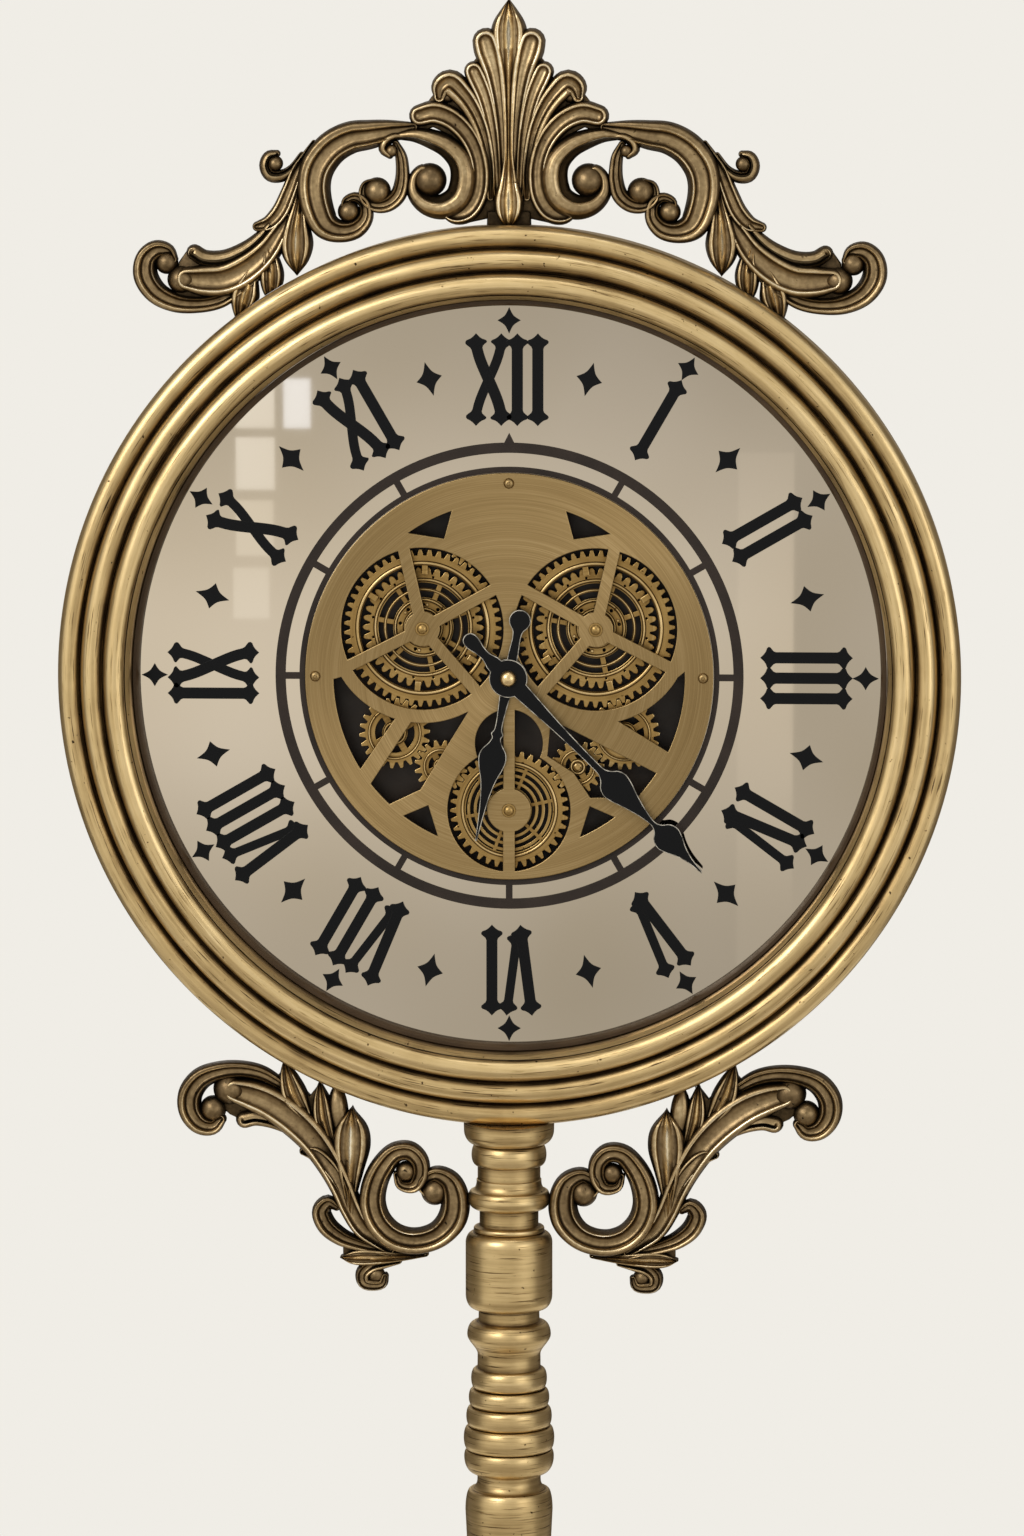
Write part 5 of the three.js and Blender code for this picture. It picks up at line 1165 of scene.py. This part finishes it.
# Half sections from the middle to the edge: share of the half width, share of the relief, and wear with painted
# light. The bare ridges are rubbed and carry a painted highlight, and the dark flanks carry the wash and painted shade.
SECTION = {
    "trough": [(0, .46, .58), (.12, .48, .56), (.22, .53, .46), (.30, .63, .28), (.36, .80, .66), (.42, .91, .94),
               (.47, .95, .74), (.56, .98, .52), (.68, 1.0, .52), (.83, .90, .42), (.90, .74, .34), (.96, .46, .28),
               (1, .1, .2)],
    "lip": [(0, .46, .58), (.30, .49, .54), (.45, .57, .40), (.515, .65, .34), (.56, .74, .76), (.62, .79, .96),
            (.68, .75, .66), (.83, .52, .38), (.90, .36, .30), (1, .05, .2)],
    "swell": [(0, 1.0, .62), (.3, .97, .58), (.56, .87, .50), (.75, .70, .42), (.90, .45, .32), (1, .08, .2)],
    "crease": [(0, 1.0, .60), (.18, .96, .60), (.30, .88, .76), (.36, .82, .94), (.42, .64, .36), (.62, .44, .40),
               (.83, .28, .32), (1, .05, .2)],
    "flute": [(0, .48, .56), (.22, .52, .56), (.36, .59, .46), (.47, .69, .34), (.515, .76, .70), (.56, .83, .96),
              (.62, .86, .74), (.75, .82, .50), (.83, .7, .42), (.90, .52, .34), (.96, .3, .27), (1, .05, .2)],
    "rib": [(0, .84, .96), (.08, .79, .78), (.22, .66, .57), (.36, .58, .49), (.47, .60, .36), (.515, .66, .62),
            (.56, .75, .92), (.62, .79, .72), (.75, .76, .52), (.83, .66, .42), (.90, .48, .34), (.96, .28, .27),
            (1, .05, .2)],
}


def section(kind):
    share, rise, wear_and_painted_light = np.array(SECTION[kind]).T
    return np.interp(SHARES, share, rise), np.interp(SHARES, share, wear_and_painted_light)


def band(points, left, right, lift=0.0, polish=0.0):
    """A band through [x, z, width] points, with one half section on its left and another on its right."""
    path = smooth(points, BAND_STEP)
    place, width = path[:, :2], np.maximum(path[:, 2], 0.4)
    ahead = np.gradient(place, axis=0)
    ahead /= np.maximum(np.linalg.norm(ahead, axis=1, keepdims=True), 1e-9)
    side = np.column_stack([-ahead[:, 1], ahead[:, 0]])
    halves = [section(left), section(right)]

    def half_loop(k, way, blend):
        """From the middle of the face out to the edge and back along the rear, in direction `way`."""
        rise = halves[0][0] * (1 - blend) + halves[1][0] * blend
        worn = halves[0][1] * (1 - blend) + halves[1][1] * blend + polish
        height = min(RELIEF[1], RELIEF[0] + 0.42 * width[k]) + lift
        # The sides draw in towards the back, so that the casting leaves its mould
        draft = max(0.6, 1 - 1.4 / (width[k] / 2))
        out = np.concatenate([SHARES, [draft, 0.94 * draft, 0.0]]) * width[k] / 2
        depth = np.concatenate([EDGE - height * rise, [BACK - 1, BACK, BACK]]) + POST_DEPTH
        flat = place[k] + out[:, None] * way
        return np.column_stack([flat[:, 0], depth, flat[:, 1]]), np.concatenate([worn, [0.3, 0.42, 0.5]])

    loops = []
    last = len(path) - 1
    fan = np.linspace(0, math.pi, 9)[1:-1]
    for turn in fan[::-1]:
        loops.append(half_loop(0, math.cos(turn) * side[0] - math.sin(turn) * ahead[0], turn / math.pi))
    loops += [half_loop(k, side[k], 0.0) for k in range(last + 1)]
    for turn in fan:
        loops.append(half_loop(last, math.cos(turn) * side[last] + math.sin(turn) * ahead[last], turn / math.pi))
    loops += [half_loop(k, -side[k], 1.0) for k in range(last, -1, -1)]
    # The loops go once round the band. Its face and its back are closed along the middle line.
    size = len(SHARES) + 3
    all_points = np.vstack([loop for loop, _ in loops])
    wear_and_painted_light = np.concatenate([worn for _, worn in loops])
    faces = []
    count = len(loops)
    for n in range(count):
        for k in range(size - 1):
            one, two = n * size + k, (n + 1) % count * size + k
            faces.append((one, one + 1, two + 1, two))
    return welded(all_points, faces, wear_and_painted_light)


def welded(points, faces, wear_and_painted_light):
    """The same solid with points that lie on each other made one, and faces that close up left out."""
    _, first, index = np.unique(np.round(points, 4), axis=0, return_index=True, return_inverse=True)
    index = index.reshape(-1)
    kept = []
    for face in faces:
        loop = [index[i] for i in face]
        loop = [i for n, i in enumerate(loop) if i != loop[n - 1]]
        if len(set(loop)) == len(loop) and len(loop) > 2:
            kept.append(loop)
    return points[first], kept, wear_and_painted_light[first]


def ball(x, z, radius, lift=0.0):
    """The round eye of a scroll, flattened at the back."""
    front = EDGE - min(RELIEF[1], RELIEF[0] + 0.60 * radius) - lift + POST_DEPTH
    turn = np.linspace(0, math.pi, 15)
    profile = [(radius * math.sin(t), front + radius * (1 - math.cos(t))) for t in turn]
    profile[0], profile[-1] = (0.0, front), (0.0, front + 2 * radius)
    points, faces, _ = turned(profile, "Y", 28, (x, 0, z))
    facing = np.clip(1 - (points[:, 1] - front) / radius, 0, 1)
    points[:, 1] = np.minimum(points[:, 1], BACK + POST_DEPTH)
    return points, faces, 0.22 + 0.27 * facing


def evenly_worn(solid, wear_and_painted_light):
    points, faces, _ = solid
    return points, faces, np.full(len(points), wear_and_painted_light)


def web(outline):
    """A plain sheet behind the bands that closes the gaps between them."""
    return evenly_worn(plate(outline, POST_DEPTH + EDGE - 3, BACK - EDGE + 2.5, 1.0), 0.32)


def mirrored(solids):
    return [placed(solid, flip=(-1, 1, 1)) for solid in solids]


def clear_of_ring(solids):
    """Solids whose points inside the ring are moved out to its edge."""
    cleared = []
    for points, faces, wear_and_painted_light in solids:
        points = points.copy()
        reach = np.hypot(points[:, 0], points[:, 2])
        grow = np.maximum(1.0, (RING + SEAT) / np.maximum(reach, 1e-6))
        points[:, [0, 2]] *= grow[:, None]
        cleared.append((points, faces, wear_and_painted_light))
    return cleared


CREST_DROP = 4.0  # the crest's points are drawn this much above where they sit


def crest():
    half = [
        # Great scroll and its eye
        band([(63, 368, 7), (78.7, 365.5, 15), (92, 363.2, 19.5), (105.3, 361, 21.5), (117.5, 354, 22.5),
              (126.5, 342, 23), (129, 330.5, 22.5), (127, 316, 21.5), (121, 303.5, 19), (111.5, 299.5, 15),
              (101, 301.5, 13), (94.8, 309, 10.5), (95.6, 317.8, 8.5), (101.6, 322, 7), (108, 319.4, 5.5),
              (109, 314, 4)], "trough", "lip"),
        ball(106, 312.6, 7.4),
        # Inner scroll with the large eye
        band([(72, 362.6, 6), (62, 363, 10), (52, 360.6, 13), (40, 355, 15.5), (31.5, 345.5, 17.5), (29.6, 334, 18.5),
              (33.6, 321.6, 18.5), (44, 315.8, 17), (55, 318, 14.5), (62.4, 326, 11), (62, 335.6, 8), (56.6, 341, 6),
              (52, 338, 4)], "crease", "swell", 0.6),
        ball(52.4, 333.4, 11.2),
        # Link between them
        band([(68, 362, 4), (75.3, 361.9, 6.5), (81.2, 358.5, 7.5), (82.8, 353.5, 7), (78.7, 349.3, 4.5)],
             "swell", "crease", 1.2),
        ball(77.4, 352.6, 4.2, 1.0),
        band([(74.6, 357, 5), (71.4, 349, 8), (70.4, 341, 9), (70.6, 333, 10), (73.4, 323.4, 11), (81, 317.2, 10.5),
              (89.6, 316.8, 9), (96, 322.4, 7), (95, 330, 5.5), (89.6, 332.6, 4)], "lip", "trough"),
        ball(87.2, 326, 9.2),
        # Hook on the outside
        band([(137, 350, 4), (143.7, 340.2, 6.5), (150.5, 336, 8.5), (158, 336.6, 9), (161, 343, 8.7),
              (158.6, 349, 7.5), (153.5, 350.6, 5)], "lip", "swell"),
        ball(154.4, 344.2, 5.2),
        # Blade down the shoulder
        band([(129, 358, 3.5), (134, 349, 7), (139.5, 340, 9.5), (145, 325.8, 11.5), (151, 312.6, 12.5),
              (158, 305, 11.5), (166.5, 302.6, 7)], "flute", "flute", 0.5),
        # Arm: upper, main and lower bands with their ends
        band([(158, 304, 5), (164, 296.5, 8), (174, 288, 10.5), (189, 281.5, 11.5), (202, 281.6, 11.5),
              (208.5, 285.4, 11)], "swell", "lip"),
        band([(146.4, 308, 8), (151.4, 299.4, 13), (160.4, 286, 18.5), (173.6, 274.6, 22.5), (188, 267.8, 23.5),
              (202.4, 267, 22), (213, 268, 17)], "flute", "flute", 0.5),
        ball(217.4, 267.6, 9.4),
        band([(160, 277, 5), (168, 269, 7), (180.3, 260.3, 9), (192, 253.6, 10.5), (207, 251, 11.5), (222, 252.6, 13.5),
              (234.4, 259.4, 15.5), (241, 270.4, 16.5), (240, 281.4, 15), (233.4, 287.2, 13), (226, 286.4, 9.5),
              (222.4, 281, 6.5)], "lip", "trough"),
        ball(227, 278.8, 7.8),
        # Hanging leaves
        band([(136.5, 336, 3.5), (138.4, 318, 9), (140, 304, 17), (140.7, 291, 22.5), (140.6, 279.6, 15.5),
              (140.4, 270.5, 0.5)], "rib", "rib", 1.0),
        band([(160.5, 292, 4), (157.8, 282, 11), (157.2, 271, 16.6), (157.6, 260, 12), (158, 251, 0.5)],
             "rib", "rib", 0.6),
        band([(168.7, 277, 4), (171.6, 268, 12), (175, 257, 19.5), (177.4, 247, 13), (179.4, 237.5, 0.5)],
             "rib", "rib", 0.6),
        # Palmette lobes, from the middle out
        band([(3.6, 326, 5), (4, 352, 7), (5.4, 377.6, 10), (9, 402.9, 15.5), (13.6, 419, 19.5), (15, 424, 18.5)],
             "flute", "flute", 1.0, 0.1),
        band([(7.6, 324, 5), (8.4, 345, 7), (11, 367.5, 10), (16, 388.7, 13), (21.2, 401, 14.5), (22.8, 404.6, 14)],
             "flute", "flute", 0.4, 0.1),
        band([(12, 322, 5), (12.6, 342, 8), (16.4, 362.4, 11), (23.4, 379.6, 14), (31.6, 391, 16.5), (39, 397, 18),
              (44.2, 393.6, 15.5), (45.6, 388, 9)], "flute", "trough", 0.2, 0.07),
        ball(40.6, 388.4, 4.6),
        band([(58.6, 375.6, 15), (48.8, 377.6, 16.5), (37.4, 373.4, 16), (27.2, 363.5, 15), (20.8, 350.3, 14),
              (18.8, 336.1, 14), (21, 322.6, 15), (27.4, 313.6, 16), (35.4, 311, 14), (42.6, 313, 8)],
              "flute", "flute"),
        web([(-1, 446), (8, 434), (11, 429), (18, 424), (21, 414), (27, 407), (29, 400), (40, 400), (48, 392),
             (58, 379), (62, 374), (66, 369), (64, 362), (50, 368), (38, 362), (30, 350), (28, 336), (30, 322),
             (38, 318), (40, 309), (28, 305), (14, 308), (-1, 308)]),
        # Behind the arm
        web([(139, 350), (148, 327), (158, 309), (164, 297), (174, 288.5), (186, 283.5), (198, 282.5), (206, 286),
             (214, 286), (219, 279), (221, 268), (221, 257), (214, 250), (196, 254), (183, 261), (171, 272), (160, 279),
             (150, 290), (141, 300), (136, 320)]),
    ]
    # Middle spear over the lobes, and the foot
    spear = band([(0, 452, 0.5), (0, 445, 11), (0, 438, 20), (0, 431, 24), (0, 420, 21.5), (0, 403, 15), (0, 380, 10),
                  (0, 357.4, 7.5), (0, 345, 8.5), (0, 332, 14), (0, 319, 21), (0, 309, 16), (0, 300.5, 0.5)],
                  "rib", "rib", 1.8, 0.1)
    foot = plate(rounded(28.6, 14, 1.5) + np.array([0, 306]), POST_DEPTH - 3, BACK + 2.5, 1.0)
    drawn = half + mirrored(half) + [spear, evenly_worn(foot, 0.22)]
    seated = clear_of_ring([placed(solid, (0, 0, -CREST_DROP)) for solid in drawn])
    piece("crest_casting", seated, "antique_bronze", stands_for=["crest"], crease=70)


def brackets():
    right = [
        # Great scroll on the post and its two eyes
        band([(54, -351, 5), (58.6, -344, 7), (50, -336.4, 11), (40.2, -340.8, 15), (36.2, -352.4, 19), (38, -366, 20),
              (46, -376.2, 18.5), (56.8, -381.2, 18), (68.6, -381.8, 18), (79.5, -377.6, 18), (88.2, -368.2, 18),
              (92, -356.1, 18), (90.4, -343.4, 17.5), (85, -331.6, 16.5), (76.4, -322, 14.5), (67, -321, 14),
              (60.4, -327.4, 13), (59.8, -337, 12), (64.6, -344.4, 10), (73, -343.6, 7), (75.6, -336.6, 5)],
              "lip", "trough"),
        ball(50, -348.4, 9.4),
        ball(69.4, -334.6, 7),
        # Stem and main band
        band([(80, -388, 7), (90, -380.5, 12), (98.6, -373, 15), (106.4, -359.6, 16.5), (112.8, -344.2, 18),
              (120.8, -328.6, 20.5), (131.4, -313, 23), (145.4, -299, 25), (160.8, -288.4, 24.5), (174.6, -282.6, 22),
              (184, -280, 18)], "flute", "flute", 0.4),
        ball(188.4, -279.6, 11),
        band([(130, -320, 4), (136, -313.4, 6.5), (146.2, -306.4, 9.5), (159.8, -300.6, 11), (171, -298.6, 12),
              (178, -300, 12.5)], "swell", "trough", -1.5),
        # Top rim and end scroll
        band([(147, -281, 5), (155.7, -274.6, 8.5), (166.6, -268.8, 11), (180.2, -266.2, 12), (195.2, -267.6, 13.5),
              (207.6, -273, 15.5), (214.8, -283.6, 16.5), (214.4, -295, 16), (207.8, -303.6, 14), (199.4, -305, 11.5),
              (194.2, -300, 8)], "trough", "lip"),
        ball(199.4, -293.2, 9),
        # Hook leaf and upright leaves
        band([(108.5, -364, 4), (110.5, -352, 7.5), (114, -342, 10.5), (121.7, -330.4, 12.5), (131.2, -322.6, 11.5),
              (138.4, -321.4, 6)], "flute", "flute", 1.0),
        band([(106.5, -368, 3), (107, -352, 9), (106.9, -335, 18), (106.4, -316, 26.5), (106, -303, 21),
              (105.7, -291.2, 0.5)], "rib", "rib", 1.2),
        band([(118, -324, 4), (121, -312, 9), (125, -299, 14), (126.6, -285, 10.5), (127.2, -272.5, 0.5)],
             "rib", "rib", 0.8),
        band([(131.5, -306, 4), (137, -296, 10), (144, -284, 18), (148.4, -271, 13), (151.4, -258.5, 0.5)],
             "rib", "rib", 0.8),
        band([(112, -318, 4), (113.5, -306, 10), (115, -294, 14), (115.6, -282, 10), (116, -274, 1)],
             "swell", "swell", -2.5),
        # Curl leaf, lower leaf and lower curl
        band([(80, -391, 4), (92, -387, 7), (102, -384.2, 9.5), (113.5, -379.6, 12), (123, -371.6, 13.5),
              (126.4, -362, 13), (121.6, -356.4, 10.5), (116.4, -359.4, 6)], "lip", "trough", 0.3),
        band([(56, -391, 4), (70, -392.6, 6.5), (84, -393, 10.5), (98.6, -393.1, 13), (107, -393.6, 9.5),
              (113.6, -393.8, 1)], "rib", "rib", 0.6),
        band([(74, -396, 4), (84, -397.4, 7.5), (93, -399.4, 9.5), (98.6, -404.6, 10.2), (97.6, -411, 9.8),
              (91.6, -412.6, 9), (85.6, -411.6, 7.5), (83.6, -406.4, 5)], "lip", "trough", 0.3),
        ball(90, -405.6, 6.4),
        # Behind the stem and its leaves, and behind the lower leaves
        web([(104, -372), (110, -364), (117, -351), (125, -335), (136, -320), (149, -308), (165, -301), (177, -302),
             (188, -297), (196, -290), (199, -279), (190, -267), (170, -267), (157, -272), (150, -264), (143, -275),
             (134, -284), (127, -275), (121, -285), (116, -278), (112, -285), (113, -298), (110, -310), (104, -330),
             (103, -350)]),
        web([(62, -389), (80, -390), (98, -383), (112, -383), (112, -392), (96, -399), (78, -397)]),
    ]
    right = clear_of_ring(right)
    piece("right_bracket_casting", right, "antique_bronze", stands_for=["right_bracket"], crease=70)
    piece("left_bracket_casting", mirrored(right), "antique_bronze", stands_for=["left_bracket"], crease=70)


def carried_over():
    """Finishes for the solids that show as they are or lie inside the case."""
    slots = {row["node"]: row["material_slot"] for row in frame["record"]["subparts"]}
    for name, solid in frame["nodes"].items():
        solid.data.materials.clear()
        solid.data.materials.append(dish_coat if name == "gear_dish" else FINISH[slots[name]])


# Studio

BACKGROUND = "F0EDE6"
AIM = np.array([2.0, 0.0, 1241.0])
DISTANCE = 4200.0
TURN, RISE = math.radians(3.0), math.radians(7.0)  # of the camera: to the right of the dial's axis and above it
AWAY = np.array([math.sin(TURN) * math.cos(RISE), -math.cos(TURN) * math.cos(RISE), math.sin(RISE)])
EYE = AIM + AWAY * DISTANCE
FRAME_HEIGHT = 1024.0  # height of the picture at the dial
WALL = -6200.0  # how far before the clock the wall of the room stands


def stage_sheet(name, corners, finish):
    mesh = bpy.data.meshes.new(name)
    mesh.from_pydata((np.array(corners, float) * MM).tolist(), [], [tuple(range(len(corners)))])
    mesh.materials.append(finish)
    made = bpy.data.objects.new(name, mesh)
    bpy.context.scene.collection.objects.link(made)
    return made


def card(name, corners, finish):
    """A sheet of the stage that is seen in metal and mirror alone."""
    made = stage_sheet(name, corners, finish)
    made.visible_camera = made.visible_diffuse = made.visible_shadow = made.visible_transmission = False


def glowing(name, code, strength):
    return material(name, {"Color": linear(code), "Strength": strength}, shader="Emission")


def seen_directly(tree):
    """1 for rays from the camera, a mirror-like surface or glass, and 0 for the light that falls on things."""
    path = node(tree, "LightPath").outputs
    both = node(tree, "Math", {0: path["Is Camera Ray"], 1: path["Is Glossy Ray"]}, operation="MAXIMUM").outputs[0]
    return node(tree, "Math", {0: both, 1: path["Is Transmission Ray"]}, operation="MAXIMUM").outputs[0]


def background():
    """A pale world, and a painted floor that fades into it away from the clock."""
    world = bpy.data.worlds.new("pale_studio")
    tree = emptied(world)
    strength = node(tree, "MapRange", {0: seen_directly(tree), 1: 0.0, 2: 1.0, 3: 0.55, 4: 1.0}).outputs[0]
    sky = node(tree, "Background", {"Color": linear(BACKGROUND), "Strength": strength})
    node(tree, "OutputWorld", {"Surface": sky.outputs["Background"]})
    bpy.context.scene.world = world

    floor_paint = bpy.data.materials.new("pale_floor_paint")
    tree = emptied(floor_paint)
    place = node(tree, "TexCoord").outputs["Object"]
    radius = node(tree, "VectorMath", {0: place}, operation="LENGTH").outputs["Value"]
    fade = node(tree, "MapRange", {"Value": radius, "From Min": 0.5, "From Max": 2.6}, interpolation_type="SMOOTHSTEP")
    far = node(tree, "Math", {0: fade.outputs["Result"], 1: seen_directly(tree)}, operation="MULTIPLY").outputs[0]
    shade = node(tree, "BsdfDiffuse", {"Color": linear("F2EFE8")})
    glow = node(tree, "Emission", {"Color": linear(BACKGROUND), "Strength": 1.0})
    mixed = node(tree, "MixShader", {0: far, 1: shade.outputs[0], 2: glow.outputs[0]})
    node(tree, "OutputMaterial", {"Surface": mixed.outputs[0]})
    reach = 3200.0
    edge = np.linspace(0, 2 * math.pi, 64, endpoint=False)
    stage_sheet("floor", [(reach * math.cos(t), reach * math.sin(t), 0) for t in edge], floor_paint)


def cards():
    """Cards as a photographer sets them to draw the edges of metal: grey at the sides and above, pale below, and one
    behind that is lighter towards its top, which gives the back of the case a soft sweep."""
    def graded(tree):
        height = node(tree, "SeparateXYZ", {0: node(tree, "TexCoord").outputs["Object"]}).outputs["Z"]
        rise = node(tree, "MapRange", {0: height, 1: 0.65, 2: 1.5}).outputs[0]
        return {"Color": node(tree, "ValToRGB", {"Fac": rise}, [(0.0, "4E4942"), (1.0, "9B9488")]).outputs["Color"]}

    grey, pale = glowing("grey_card", "7A736A", 1.0), glowing("pale_card", "B8B0A4", 1.0)
    behind = material("graded_card", {}, graded, "Emission")
    front, near, far = -3400.0, -400.0, 1500.0
    low, tall, wide = 20.0, 2700.0, 1500.0
    for name, x in (("card_left", -wide), ("card_right", wide)):
        card(name, [(x, near, 0), (x, far, 0), (x, far, tall), (x, near, tall)], grey)
    for name, start, stop, level, finish in (("card_above", near, far, tall, grey),
                                             ("card_below", front, near, low, pale)):
        card(name, [(-wide, start, level), (wide, start, level), (wide, stop, level), (-wide, stop, level)], finish)
    card("card_behind", [(-wide, far, 0), (wide, far, 0), (wide, far, tall), (-wide, far, tall)], behind)


def behind_mirror(x, z, depth=WALL):
    """The point in front of the dial that shows at a place on the mirror."""
    place = on_dial((x, z))
    run = (place - EYE) * np.array([1, -1, 1])
    return place + run * (depth - place[1]) / run[1]


def wall_glow(name, left, right):
    """A pale glowing sheet that stands in for a lit wall, seen in metal and mirror alone: it is brightest along one
    height.
    The levels show at the left and right of the mirror.
    """
    x_left, x_right = [behind_mirror(x, 0)[0] * MM for x in (-165, 150)]
    z_bright, z_dim = [behind_mirror(0, z)[2] * MM for z in (20, 260)]

    def links(tree):
        place = node(tree, "SeparateXYZ", {0: node(tree, "TexCoord").outputs["Object"]}).outputs
        across = node(tree, "MapRange", {0: place["X"], 1: x_left, 2: x_right, 3: left, 4: right}).outputs[0]
        off = node(tree, "Math", {0: place["Z"], 1: z_bright}, operation="SUBTRACT").outputs[0]
        distance = node(tree, "Math", {0: off}, operation="ABSOLUTE").outputs[0]
        share = node(tree, "MapRange", {0: distance, 1: 0.0, 2: z_dim - z_bright, 3: 1.0, 4: 0.68},
                     interpolation_type="SMOOTHSTEP").outputs[0]
        return {"Strength": node(tree, "Math", {0: across, 1: share}, operation="MULTIPLY").outputs[0]}
    return material(name, {"Color": linear(BACKGROUND)}, links, "Emission")


def room():
    """The wall behind the camera, with a window, a door frame and a shaded corner, seen in the mirror and the metal."""
    reach = 4500.0
    corners = [(-reach, WALL, 0), (reach, WALL, 0), (reach, WALL, reach), (-reach, WALL, reach)]
    card("wall", corners, wall_glow("room_wall", 1.44, 1.24))
    sky = glowing("window_sky", "DCE4F4", 2.55)
    haze = glowing("window_haze", "E8EAEC", 2.0)
    faint = glowing("window_faint", "ECEBE7", 1.72)
    frame_glow = wall_glow("door_frame_glow", 1.40, 1.34)
    shade = glowing("corner_shade", BACKGROUND, 0.97)
    # Left, right, bottom and top of each, by where it shows on the mirror
    panes = [(-150, -132, 165, 198, sky), (-182, -156, 165, 204, haze), (-182, -156, 124, 159, haze),
             (-182, -157, 80, 117, faint), (-184, -160, 38, 72, faint), (152, 189, -230, 150, frame_glow),
             (189, 262, -230, 230, shade)]
    for k, (left, right, bottom, top, finish) in enumerate(panes, 1):
        corners = [(left, bottom), (right, bottom), (right, top), (left, top)]
        card(f"wall_light_{k}", [behind_mirror(x, z, WALL + 10) for x, z in corners], finish)


def lamp(name, place, size, watts):
    data = bpy.data.lights.new(name, "AREA")
    data.shape = "RECTANGLE"
    data.size, data.size_y = size[0] * MM, size[1] * MM
    data.energy = watts
    made = bpy.data.objects.new(name, data)
    made.location = Vector(place) * MM
    made.rotation_euler = (Vector(AIM) - Vector(place)).to_track_quat("-Z", "Y").to_euler()
    bpy.context.scene.collection.objects.link(made)


def lamps():
    lamp("key_softbox", (-1900, -2700, 2900), (1700, 1700), 46.0)
    lamp("fill_softbox", (2300, -2600, 1700), (1600, 1800), 12.0)
    lamp("top_softbox", (200, -300, 3500), (1600, 1200), 12.0)
    lamp("rear_softbox", (-1100, 3200, 2500), (1500, 1500), 44.0)


def camera():
    scene = bpy.context.scene
    scene.view_settings.view_transform = "Standard"
    data = bpy.data.cameras.new("view")
    data.sensor_width = 36.0
    data.lens = data.sensor_width * DISTANCE / FRAME_HEIGHT
    data.clip_end = 50.0
    made = bpy.data.objects.new("view", data)
    made.location = Vector(EYE * MM)
    made.rotation_euler = Vector(-AWAY).to_track_quat("-Z", "Y").to_euler()
    scene.collection.objects.link(made)
    scene.camera = made


carried_over()
base()
post()
ring()
drum()
rear_door()
cells()
markings()
chapter()
front_plate()
for train in ("left", "right"):
    great_wheel(train)
    second_wheel(train)
small_wheels()
hands()
crest()
brackets()
background()
cards()
room()
lamps()
camera()
